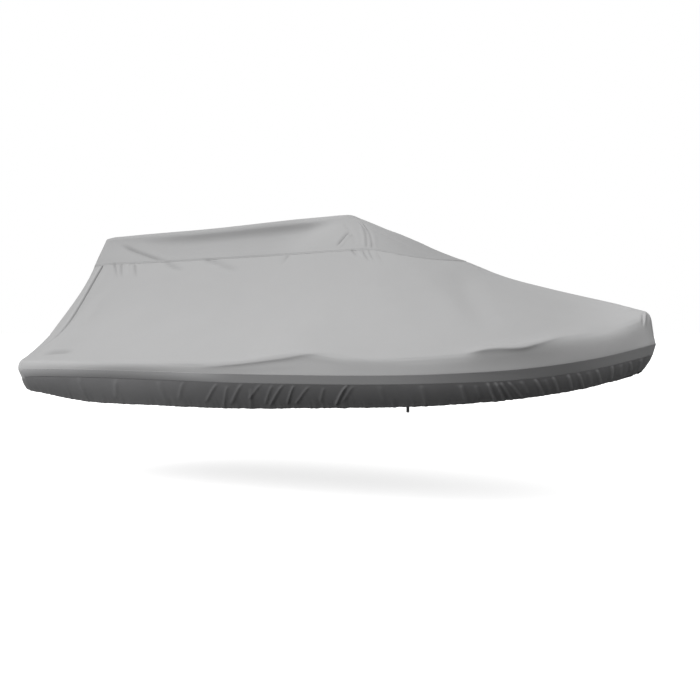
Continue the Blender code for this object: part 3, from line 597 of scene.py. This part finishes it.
def shell(name, q, v, outer, inner, mat, hem=0.0, loop=False, painted_light_and_tone=None):
    """A closed sheet between two offsets of the surface, given for each row and column.  hem is
    the radius to which its lower edge is rolled."""
    p, n = surface(q, v)
    top = p + n * outer[..., None]
    low = p + n * inner[..., None]
    if hem:
        down = unit(p[-1] - p[-2])
        rolled = []
        for t in (0.25, 0.5, 0.75, 1.0):
            for layer, sign in ((top, 1), (low, -1)):
                middle = (top[-1] + low[-1]) / 2
                reach = (layer[-1] - middle) * math.cos(t * math.pi / 2)
                rolled.append((sign, middle + reach + down * hem * math.sin(t * math.pi / 2)))
        top = np.concatenate([top] + [r[None] for s, r in rolled if s > 0])
        low = np.concatenate([low] + [r[None] for s, r in rolled if s < 0])
    rows, cols = top.shape[:2]
    verts = np.concatenate([top.reshape(-1, 3), low.reshape(-1, 3)])
    o = np.arange(rows * cols).reshape(rows, cols)
    i = o + rows * cols
    faces = [
        np.stack([o[:-1, :-1], o[:-1, 1:], o[1:, 1:], o[1:, :-1]], -1).reshape(-1, 4),
        np.stack([i[:-1, :-1], i[1:, :-1], i[1:, 1:], i[:-1, 1:]], -1).reshape(-1, 4),
        np.stack([o[-1, :-1], o[-1, 1:], i[-1, 1:], i[-1, :-1]], -1).reshape(-1, 4),
    ]
    if v[0] > -1:
        faces.append(np.stack([o[0, 1:], o[0, :-1], i[0, :-1], i[0, 1:]], -1).reshape(-1, 4))
    if not loop:
        faces.append(np.stack([o[:-1, 0], o[1:, 0], i[1:, 0], i[:-1, 0]], -1).reshape(-1, 4))
        faces.append(np.stack([o[1:, -1], o[:-1, -1], i[:-1, -1], i[1:, -1]], -1).reshape(-1, 4))
    across = lengths(top, 1)
    across = across - across[:, cols // 2:cols // 2 + 1]
    uv = np.stack([across, -lengths(top, 0)], -1).reshape(-1, 2)
    uv = np.concatenate([uv, uv])
    quads = np.concatenate(faces)
    if painted_light_and_tone is not None:
        painted_light_and_tone = np.concatenate([painted_light_and_tone, np.repeat(painted_light_and_tone[-1:], rows - len(painted_light_and_tone), 0)]).ravel()
        painted_light_and_tone = np.concatenate([painted_light_and_tone, painted_light_and_tone])
    return mesh_from(name, verts, quads, uv[quads], mat, painted_light_and_tone=painted_light_and_tone)


def steps(*parts):
    """Numbers from one value to the next: steps(a, n, b, m, c) has n steps from a to b, and so on."""
    row = [np.array([parts[0]], float)]
    for k in range(1, len(parts), 2):
        row.append(parts[k - 1] + (parts[k + 1] - parts[k - 1]) * np.arange(1, parts[k] + 1) / parts[k])
    return np.concatenate(row)


def step_up(x, a, b):
    return fade((x - a) / (b - a))


# ------------------------------------------------------------------ stitches
STITCH = {"long": 0.0046, "wide": 0.0009, "high": 0.0006, "pitch": 0.0072}


def stitches(name, lines, mat):
    """Short threads along lines, each given as its points and the outward normals there."""
    verts, quads = [], []
    count = 0
    for line, normal in lines:
        run = np.concatenate([[0], np.cumsum(np.linalg.norm(np.diff(line, axis=0), axis=1))])
        n = int(run[-1] / STITCH["pitch"])
        if n < 1:
            continue
        at = (np.arange(n) + 0.5) * run[-1] / n
        centre = np.stack([np.interp(at, run, line[:, k]) for k in range(3)], 1)
        ahead = np.stack([np.interp(at + 0.002, run, line[:, k]) for k in range(3)], 1)
        back = np.stack([np.interp(at - 0.002, run, line[:, k]) for k in range(3)], 1)
        along = unit(ahead - back)
        up = unit(np.stack([np.interp(at, run, normal[:, k]) for k in range(3)], 1))
        beside = unit(np.cross(up, along))
        l, w, h = STITCH["long"] / 2, STITCH["wide"] / 2, STITCH["high"]
        ring = [centre - along * l - up * h * 0.3]
        for x in (-l * 0.45, l * 0.45):
            for y, z in ((-1, -0.5), (-0.5, 0.9), (0.5, 0.9), (1, -0.5)):
                ring.append(centre + along * x + beside * w * y + up * h * z)
        ring.append(centre + along * l - up * h * 0.3)
        block = np.stack(ring, 1)                       # stitches, 10 points
        base = count + np.arange(n) * 10
        for j in range(4):
            a, b = 1 + j, 1 + (j + 1) % 4
            for face in ((a, a + 4, b + 4, b), (0, 0, a, b), (9, 9, b + 4, a + 4)):
                quads.append(np.stack([base + k for k in face], 1))
        verts.append(block.reshape(-1, 3))
        count += n * 10
    verts, quads = np.concatenate(verts), np.concatenate(quads)
    return mesh_from(name, verts, quads, np.zeros((len(quads), 4, 2)), mat, 1.2)


# ------------------------------------------------------------------ materials
class Nodes:
    """Short hand for a node tree."""

    def __init__(self, name):
        self.material = bpy.data.materials.new(name)
        self.material.use_nodes = True
        self.tree = self.material.node_tree
        self.shader = self.tree.nodes["Principled BSDF"]

    def add(self, kind, **settings):
        node = self.tree.nodes.new(kind)
        for key, value in settings.items():
            setattr(node, key, value)
        return node

    def link(self, a, b):
        self.tree.links.new(a, b)

    def math(self, operation, a, b=None, c=None):
        node = self.add("ShaderNodeMath", operation=operation)
        for k, value in enumerate((a, b, c)):
            if value is None:
                continue
            if isinstance(value, (int, float)):
                node.inputs[k].default_value = value
            else:
                self.link(value, node.inputs[k])
        return node.outputs[0]

    def noise(self, where, scale, detail=2.0, rough=0.5):
        node = self.add("ShaderNodeTexNoise")
        node.inputs["Scale"].default_value = scale
        node.inputs["Detail"].default_value = detail
        node.inputs["Roughness"].default_value = rough
        self.link(where, node.inputs["Vector"])
        return node.outputs["Fac"]

    def ramp(self, value, low, high, a, b):
        node = self.add("ShaderNodeMapRange", interpolation_type="SMOOTHSTEP")
        for key, number in (("From Min", low), ("From Max", high), ("To Min", a), ("To Max", b)):
            node.inputs[key].default_value = number
        self.link(value, node.inputs["Value"])
        return node.outputs[0]


def cloth_material(name, colour, rough, thread=0.0006, uneven=0.05, sheen=0.12, along=(), edge=None):
    """Plain-woven coated polyester: threads crossing, faint uneven colour, creased a little.
    along: ranges of x and the factors by which the colour changes over them, as painted light and
    shade.  edge: how wide the painted lighter upper edge is, the factor there, and the range of x
    over which it ends."""
    m = Nodes(name)
    uv = m.add("ShaderNodeUVMap", uv_map="cloth").outputs["UV"]
    place = m.add("ShaderNodeTexCoord").outputs["Object"]
    split = m.add("ShaderNodeSeparateXYZ")
    m.link(uv, split.inputs[0])
    turn = math.pi / thread
    warp = m.math("SINE", m.math("MULTIPLY", split.outputs["X"], turn))
    weft = m.math("SINE", m.math("MULTIPLY", split.outputs["Y"], turn))
    weave = m.math("MULTIPLY", warp, weft)
    broad = m.noise(place, 1.3, 2.0)
    patchy = m.noise(place, 9.0, 3.0, 0.6)
    speck = m.noise(place, 160.0, 2.0, 0.7)
    tone = m.math("ADD", m.math("MULTIPLY", m.math("SUBTRACT", broad, 0.5), uneven * 1.0),
                  m.math("MULTIPLY", m.math("SUBTRACT", patchy, 0.5), uneven * 0.8))
    tone = m.math("ADD", tone, m.math("MULTIPLY", m.math("SUBTRACT", speck, 0.5), uneven * 0.8))
    tone = m.math("ADD", tone, m.math("MULTIPLY", weave, 0.02))
    tone = m.math("ADD", tone, 1.0)
    at = m.add("ShaderNodeSeparateXYZ")
    m.link(place, at.inputs[0])
    # painted light and shade: the colour made lighter or darker along x, as light falls on the cover
    for start, end, factor, factor_end in along:
        tone = m.math("MULTIPLY", tone, m.ramp(at.outputs["X"], start, end, factor, factor_end))
    # painted light: the upper edge made lighter where it runs into the light on the cloth above
    if edge:
        wide, factor, start, end = edge
        top = m.math("MULTIPLY", m.ramp(split.outputs["Y"], -wide, 0.0, 0.0, factor - 1),
                     m.ramp(at.outputs["X"], start, end, 1.0, 0.0))
        tone = m.math("MULTIPLY", tone, m.math("ADD", top, 1.0))
    # painted light and shade from the mesh: painted shade in folds and seam lines, painted highlight on ridges
    # and gathers
    painted_tone = m.add("ShaderNodeAttribute", attribute_name="painted_light_and_tone").outputs["Fac"]
    tone = m.math("MULTIPLY", tone, m.math("ADD", painted_tone, 1.0))
    mix = m.add("ShaderNodeVectorMath", operation="SCALE")
    mix.inputs[0].default_value = colour
    m.link(tone, mix.inputs["Scale"])
    m.link(mix.outputs[0], m.shader.inputs["Base Color"])
    m.link(m.ramp(patchy, 0.3, 0.7, rough - 0.05, rough + 0.05), m.shader.inputs["Roughness"])
    fine = m.add("ShaderNodeBump")
    fine.inputs["Strength"].default_value = 0.6
    fine.inputs["Distance"].default_value = 0.00012
    m.link(weave, fine.inputs["Height"])
    creased = m.add("ShaderNodeBump")
    creased.inputs["Strength"].default_value = 0.5
    creased.inputs["Distance"].default_value = 0.0016
    crumple = m.math("ADD", m.math("MULTIPLY", m.noise(place, 14.0, 4.0, 0.6), 1.0),
                     m.math("MULTIPLY", m.noise(place, 60.0, 3.0, 0.6), 0.16))
    m.link(crumple, creased.inputs["Height"])
    m.link(fine.outputs[0], creased.inputs["Normal"])
    m.link(creased.outputs[0], m.shader.inputs["Normal"])
    m.shader.inputs["Sheen Weight"].default_value = sheen
    m.shader.inputs["Sheen Roughness"].default_value = 0.5
    m.shader.inputs["Specular IOR Level"].default_value = 0.25
    return m.material


def thread_material(name, colour):
    m = Nodes(name)
    place = m.add("ShaderNodeTexCoord").outputs["Object"]
    tone = m.ramp(m.noise(place, 400.0, 2.0), 0.3, 0.7, 0.85, 1.1)
    mix = m.add("ShaderNodeVectorMath", operation="SCALE")
    mix.inputs[0].default_value = colour
    m.link(tone, mix.inputs["Scale"])
    m.link(mix.outputs[0], m.shader.inputs["Base Color"])
    m.shader.inputs["Roughness"].default_value = 0.6
    return m.material


def webbing_material(name, colour):
    """Black webbing: slanted ribs along its length and a slight gloss."""
    m = Nodes(name)
    place = m.add("ShaderNodeUVMap", uv_map="cloth").outputs["UV"]
    split = m.add("ShaderNodeSeparateXYZ")
    m.link(place, split.inputs[0])
    rib = m.math("SINE", m.math("MULTIPLY", m.math("ADD", split.outputs["Y"],
                 m.math("ABSOLUTE", split.outputs["X"])), 2 * math.pi / 0.0022))
    bump = m.add("ShaderNodeBump")
    bump.inputs["Strength"].default_value = 0.8
    bump.inputs["Distance"].default_value = 0.0003
    m.link(rib, bump.inputs["Height"])
    m.link(bump.outputs[0], m.shader.inputs["Normal"])
    tone = m.ramp(rib, -1.0, 1.0, 0.7, 1.3)
    mix = m.add("ShaderNodeVectorMath", operation="SCALE")
    mix.inputs[0].default_value = colour
    m.link(tone, mix.inputs["Scale"])
    m.link(mix.outputs[0], m.shader.inputs["Base Color"])
    m.shader.inputs["Roughness"].default_value = 0.55
    return m.material


# The factors along x on every cloth are painted light and shade: stretches made lighter or darker as light falls
# on the cover there.
LIGHT = cloth_material("cover cloth", (0.450, 0.450, 0.452), 0.78,
                       along=((-1.9, -0.4, 0.94, 1.0), (1.0, 2.2, 1.0, 0.965), (3.2, 3.8, 1.0, 1.12)))
# the cap is the same cloth as the sides, painted darker as shade on its steeper slopes
CAP_SHADED = cloth_material("cover cloth, cap, painted shade", (0.405, 0.405, 0.407), 0.78,
                           along=((-1.7, -0.9, 0.94, 1.0), (0.55, 1.1, 1.0, 1.07), (1.3, 2.2, 1.0, 0.87)))
# the band's upper edge is painted lighter towards the stern, as the light on the cloth above runs into it
DARK = cloth_material("band cloth", (0.245, 0.245, 0.248), 0.74,
                      along=((-1.3, -0.4, 1.28, 0.94), (0.0, 0.5, 1.0, 1.07), (2.1, 3.0, 1.0, 0.87),
                             (3.35, 3.85, 1.0, 1.45)),
                      edge=(0.080, 1.75, 0.30, 0.90))
DARKER = cloth_material("skirt cloth", (0.112, 0.112, 0.114), 0.72, uneven=0.10,
                        along=((-2.0, -1.3, 0.8, 1.0), (-0.6, 1.4, 1.6, 1.0), (1.9, 2.6, 1.0, 1.12), (2.9, 3.7, 1.0, 1.35)))
THREAD = thread_material("thread", (0.36, 0.36, 0.36))
THREAD_DARK = thread_material("dark thread", (0.09, 0.09, 0.09))
WEBBING = webbing_material("webbing", (0.013, 0.013, 0.014))

# ------------------------------------------------------------------ panels
SIDE_Q = steps(0.0, 34, 0.18, 58, 0.95, 50, 1.75, 36, 2.20, 50, 2.75, 78, 5.05, 122, CORNER - 0.10, 28,
               CORNER + 0.012)
PORT_Q = steps(0.0, 20, 0.18, 66, 0.95, 60, 1.75, 180, CORNER - 0.10, 20, CORNER + 0.012)
SIDE_V = steps(0.98, 3, 1.0, 10, 1.06, 26, 2.0, 40, 3.0, 24, 4.0, 1, 4.12)
FINE_Q = steps(0.0, 30, 0.18, 100, 1.05, 300, 3.2, 300, CORNER - 0.10, 14, CORNER + 0.012)


def lap_over_stern(q):
    """Raise of the pieces that are sewn over the edge of the stern panel."""
    return 0.0015 * step_up(np.abs(q), CORNER - 0.022, CORNER - 0.008)


def lap_centre(q):
    """Raise of the starboard pieces where they lap over the port ones on the centreline."""
    return 0.0015 * (1 - step_up(q, -0.002, 0.012))


def side(q):
    """The same columns on the port side, from the stern forward."""
    return -q[::-1]


def span(q, v, high):
    return np.broadcast_to(high, (len(v), len(q))) + np.zeros((len(v), len(q)))


def build_panels():
    made = {}
    # two side panels; starboard laps over port on the centre seam
    q, v = np.concatenate([[-0.010, -0.005], SIDE_Q]), SIDE_V
    high = lap_over_stern(q) + lap_centre(q)
    made["side_panel_starboard"] = shell("side_panel_starboard", q, v, span(q, v, high),
                                         span(q, v, high - CLOTH), LIGHT, painted_light_and_tone=seam_tone(q, v))
    q = side(PORT_Q)
    high = lap_over_stern(q)
    made["side_panel_port"] = shell("side_panel_port", q, v, span(q, v, high),
                                    span(q, v, high - CLOTH), LIGHT, painted_light_and_tone=seam_tone(q, v))
    # stern panel, tucked under its neighbours
    half = steps(CORNER - 0.010, 14, CORNER + 0.03, 40, ROUND)
    q = np.concatenate([half, (2 * ROUND - half)[::-1][1:]])
    v = steps(0.98, 3, 1.0, 10, 1.06, 20, 2.0, 18, 3.0, 12, 4.0, 6, 5.0, 16, 5.88, 3, 6.0)
    bulge = 0.0012 * np.exp(-((v - 5.93) / 0.05) ** 2)[:, None]
    back = np.where(v > 5.885, 0.0062, CLOTH)[:, None]
    made["stern_panel"] = shell("stern_panel", q, v, span(q, v, -0.0002 + bulge),
                                span(q, v, -0.0002 - back), LIGHT, hem=0.004,
                                painted_light_and_tone=seam_tone(q, v))
    # roof cap, all round, lapped over the panels below
    half = steps(0.0, 20, 0.20, 70, 1.45, 30, 2.1, 50, 2.75, 70, 4.5, 115, 5.9, 40, ROUND)
    q = np.concatenate([-half[::-1], half[1:]])
    v = steps(-1.0, 8, 0.0, 16, 0.25, 22, 0.9, 5, 0.965, 3, 1.0, 1, 1.022)
    high = 0.0017 * step_up(v, 0.945, 0.975)[:, None]
    made["roof_panel"] = shell("roof_panel", q, v, span(q, v, high), span(q, v, high - CLOTH),
                               CAP_SHADED, loop=True, painted_light_and_tone=fold_tone(q, v))
    # bands, standing proud, with turned edges
    v = np.array([4.0, 4.015, 4.04, 4.08, 4.2, 4.35, 4.5, 4.65, 4.8, 4.92, 4.96, 4.985, 5.0]) - 0.0
    edge = (step_up(v, 3.99, 4.05) * (1 - step_up(v, 4.95, 5.01)))[:, None]
    for word, q in (("starboard", np.concatenate([[-0.012, -0.006], SIDE_Q])), ("port", side(PORT_Q))):
        high = lap_over_stern(q) + (lap_centre(q) if word == "starboard" else 0)
        made["band_" + word] = shell("band_" + word, q, v, span(q, v, high) + 0.0005 + 0.0016 * edge,
                                     span(q, v, high + 0.0002), DARK)
    # skirts, gathered, with a rolled hem
    v = steps(4.86, 2, 5.0, 6, 5.2, 18, 5.90, 4, 6.0)
    bulge = 0.0014 * np.exp(-((v - 5.95) / 0.05) ** 2)[:, None]
    back = np.where(v > 5.895, 0.0066, CLOTH)[:, None]
    for word, q in (("starboard", np.concatenate([[-0.010, -0.005], FINE_Q])), ("port", side(FINE_Q))):
        high = lap_over_stern(q) + (lap_centre(q) if word == "starboard" else 0)
        made["skirt_" + word] = shell("skirt_" + word, q, v, span(q, v, high + 0 * v[:, None]) + bulge,
                                      span(q, v, high + 0 * v[:, None]) - back, DARKER, hem=0.004,
                                      painted_light_and_tone=gathers(*np.meshgrid(np.abs(q), v))[1])
    return made


def strap(name, word):
    """A webbing tab: sewn inside the hem, then hanging down, with a folded and sealed end."""
    flip = 1 if word == "starboard" else -1
    # centre line, from the sewn end down, with the outward normal of the face: own frame
    line = [
        #  x        y         z         nx      ny      nz
        (2.27800, -1.09755, -1.45290, 0.115, -0.805, -0.582),
        (2.27630, -1.08580, -1.46980, 0.117, -0.815, -0.567),
        (2.27470, -1.07480, -1.48400, 0.128, -0.900, -0.415),
        (2.27445, -1.07270, -1.48900, 0.139, -0.972, -0.190),
        (2.27440, -1.07245, -1.50000, 0.141, -0.989, -0.030),
        (2.27460, -1.07300, -1.51500, 0.140, -0.988, 0.050),
        (2.27500, -1.07400, -1.53200, 0.141, -0.989, 0.030),
        (2.27470, -1.07330, -1.54700, 0.141, -0.990, -0.020),
    ]
    row = np.array(line)
    fine = np.linspace(0, len(row) - 1, 8 * (len(row) - 1) + 1)
    row = np.stack([np.interp(fine, np.arange(len(row)), row[:, k]) for k in range(6)], 1)
    for _ in range(6):
        row[1:-1] = (row[:-2] + 2 * row[1:-1] + row[2:]) / 4
    p, n = row[:, :3], unit(row[:, 3:])
    along = unit(np.cross(n, unit(np.gradient(p, axis=0))))
    wide, thick = 0.0125, 0.0011
    profile = []
    for x in np.linspace(-1, 1, 13):                    # rounded edges, faint ribs
        profile.append((x * wide, thick * (1 - 0.75 * abs(x) ** 8) + 0.00012 * math.cos(x * 18)))
    loop = profile + [(x, -h) for x, h in reversed(profile)]
    rings = np.stack([p + along * x + n * h for x, h in loop], 1)     # (rows, loop, 3)
    taper = np.ones(len(p))
    taper[-1], taper[-2], taper[0] = 0.55, 0.9, 0.6
    rings = p[:, None] + (rings - p[:, None]) * np.where(np.arange(1) < 0, 1, 1) + 0
    centre = p[:, None]
    offset = rings - centre
    thin = (offset * n[:, None]).sum(2, keepdims=True) * n[:, None]
    rings = centre + offset - thin + thin * taper[:, None, None]
    rows, cols = rings.shape[:2]
    idx = np.arange(rows * cols).reshape(rows, cols)
    nxt = np.roll(idx, -1, axis=1)
    quads = [np.stack([idx[:-1], nxt[:-1], nxt[1:], idx[1:]], -1).reshape(-1, 4)]
    half = len(profile)
    for r, turn in ((0, False), (rows - 1, True)):
        for k in range(half - 1):
            face = [idx[r, k], idx[r, 2 * half - 1 - k], idx[r, 2 * half - 2 - k], idx[r, k + 1]]
            quads.append(np.array([face[::-1] if turn else face]))
    quads = np.concatenate(quads)
    verts = rings.reshape(-1, 3)
    a, b, c = verts[quads[0][0]], verts[quads[0][1]], verts[quads[0][2]]
    if np.cross(b - a, c - a) @ (a - p[0]) < 0:
        quads = quads[:, ::-1]
    if flip < 0:
        verts = verts * (1, -1, 1)
        quads = quads[:, ::-1]
    u = np.tile(np.array([x for x, _ in loop]), rows)
    w = np.repeat(np.concatenate([[0], np.cumsum(np.linalg.norm(np.diff(p, axis=0), axis=1))]), cols)
    uv = np.stack([u, w], 1)
    return mesh_from(name, verts + ORIGIN, quads, uv[quads], WEBBING, 0.9)


def seam_line(q, v, high):
    """A line of points on the surface, for stitches: at constant v, or at constant q."""
    if np.ndim(v) == 0:
        p, n = surface(q, np.array([v - 0.01, v, v + 0.01]))
        p, n = p[1], n[1]
    else:
        p, n = surface(np.array([q - 0.004, q, q + 0.004]), v)
        p, n = p[:, 1], n[:, 1]
    return p + n * high, n


def build_stitches():
    made = {}
    round_q = np.linspace(-ROUND, ROUND, 900)
    made["stitches_roof"] = stitches("stitches_roof", [
        seam_line(round_q, 1.014, 0.0019), seam_line(round_q, 0.994, 0.0019)], THREAD)
    for word, s in (("starboard", 1), ("port", -1)):
        q = s * SIDE_Q[1:-1]
        lines = [seam_line(q, 4.06, 0.0022), seam_line(q, 4.93, 0.0022)]
        made["stitches_band_" + word] = stitches("stitches_band_" + word, lines, THREAD_DARK)
        q = s * FINE_Q[1:-1]
        made["stitches_hem_" + word] = stitches("stitches_hem_" + word,
                                                [seam_line(q, 5.885, 0.0002)], THREAD_DARK)
        down = np.linspace(1.03, 3.97, 160)
        made["stitches_corner_" + word] = stitches("stitches_corner_" + word, [
            seam_line(s * (CORNER + 0.0085), down, 0.0016),
            seam_line(s * (CORNER + 0.0010), down, 0.0016)], THREAD)
    down = np.linspace(1.03, 3.98, 240)
    made["stitches_centre"] = stitches("stitches_centre", [
        seam_line(-0.0070, down, 0.0016), seam_line(0.0005, down, 0.0016)], THREAD)
    return made


panels = build_panels()
sewing = build_stitches()
for word in ("starboard", "port"):
    panels["strap_" + word] = strap("strap_" + word + "_webbing", word)

for node, obj in panels.items():
    if not node.startswith("strap"):
        obj.name = node + "_cloth"
    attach(obj, "root")
    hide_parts(node)
for node, obj in sewing.items():
    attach(obj, "root")

# columns for the sizes to which the sheets were cut: width, length and area, in metres and square metres
SHEET_COLUMNS = ("node", "width", "length", "area", "with")


# ------------------------------------------------------------------ floor, backdrop, light
FLOOR_Z = -2.3462


def stage():
    floor = bpy.data.meshes.new("floor")
    ring = [(60 * math.cos(a), 60 * math.sin(a), FLOOR_Z)
            for a in np.linspace(0, 2 * math.pi, 96, endpoint=False)]
    floor.from_pydata(ring, [], [tuple(range(96))])
    m = Nodes("floor")
    m.shader.inputs["Base Color"].default_value = (0.9, 0.9, 0.9, 1)
    m.shader.inputs["Roughness"].default_value = 0.9
    m.shader.inputs["Specular IOR Level"].default_value = 0.0
    m.shader.inputs["Emission Color"].default_value = (1, 1, 1, 1)
    m.shader.inputs["Emission Strength"].default_value = 0.62
    see = m.add("ShaderNodeBsdfTransparent")
    mix = m.add("ShaderNodeMixShader")
    m.link(m.add("ShaderNodeNewGeometry").outputs["Backfacing"], mix.inputs[0])
    m.link(m.shader.outputs[0], mix.inputs[1])
    m.link(see.outputs[0], mix.inputs[2])
    m.link(mix.outputs[0], m.tree.nodes["Material Output"].inputs["Surface"])
    floor.materials.append(m.material)
    ground = bpy.data.objects.new("floor", floor)
    bpy.context.scene.collection.objects.link(ground)
    ground.visible_diffuse = ground.visible_glossy = False
    ground.visible_shadow = False

    bpy.ops.mesh.primitive_uv_sphere_add(segments=64, ring_count=32, radius=70)
    sky = bpy.context.object
    sky.name = "backdrop"
    m = Nodes("backdrop")
    glow = m.add("ShaderNodeEmission")
    glow.inputs["Color"].default_value = (1, 1, 1, 1)
    glow.inputs["Strength"].default_value = 1.0
    m.link(glow.outputs[0], m.tree.nodes["Material Output"].inputs["Surface"])
    sky.data.materials.append(m.material)
    sky.visible_diffuse = sky.visible_glossy = sky.visible_transmission = False
    sky.visible_shadow = sky.visible_volume_scatter = False


KEY_FROM = (-0.45, -0.75, 0.48)
KEY_POWER = 1.77                  # sun strength, watts per square metre
KEY_SOFT = 38.0                   # degrees across
SKY_UP, SKY_DOWN = 0.65, 0.06
FILL_FROM = (0.97, -0.14, 0.14)
FILL_POWER, FILL_SOFT = 0.30, 60.0


def lights():
    for name, place, power, soft in (("key", KEY_FROM, KEY_POWER, KEY_SOFT),
                                     ("fill", FILL_FROM, FILL_POWER, FILL_SOFT)):
        sun = bpy.data.lights.new(name, "SUN")
        sun.energy, sun.angle = power, math.radians(soft)
        lamp = bpy.data.objects.new(name, sun)
        lamp.rotation_euler = Vector(place).to_track_quat("Z", "Y").to_euler()
        bpy.context.scene.collection.objects.link(lamp)
    world = bpy.data.worlds.new("studio")
    bpy.context.scene.world = world
    world.use_nodes = True
    tree = world.node_tree
    coord = tree.nodes.new("ShaderNodeTexCoord")
    split = tree.nodes.new("ShaderNodeSeparateXYZ")
    ramp = tree.nodes.new("ShaderNodeMapRange")
    ramp.interpolation_type = "SMOOTHSTEP"
    for key, number in (("From Min", -0.12), ("From Max", 0.12), ("To Min", SKY_DOWN),
                        ("To Max", SKY_UP)):
        ramp.inputs[key].default_value = number
    tree.links.new(coord.outputs["Generated"], split.inputs[0])
    tree.links.new(split.outputs["Z"], ramp.inputs["Value"])
    back = tree.nodes["Background"]
    back.inputs["Color"].default_value = (1, 1, 1, 1)
    tree.links.new(ramp.outputs[0], back.inputs["Strength"])


stage()
lights()
bpy.context.scene.view_settings.view_transform = "Standard"
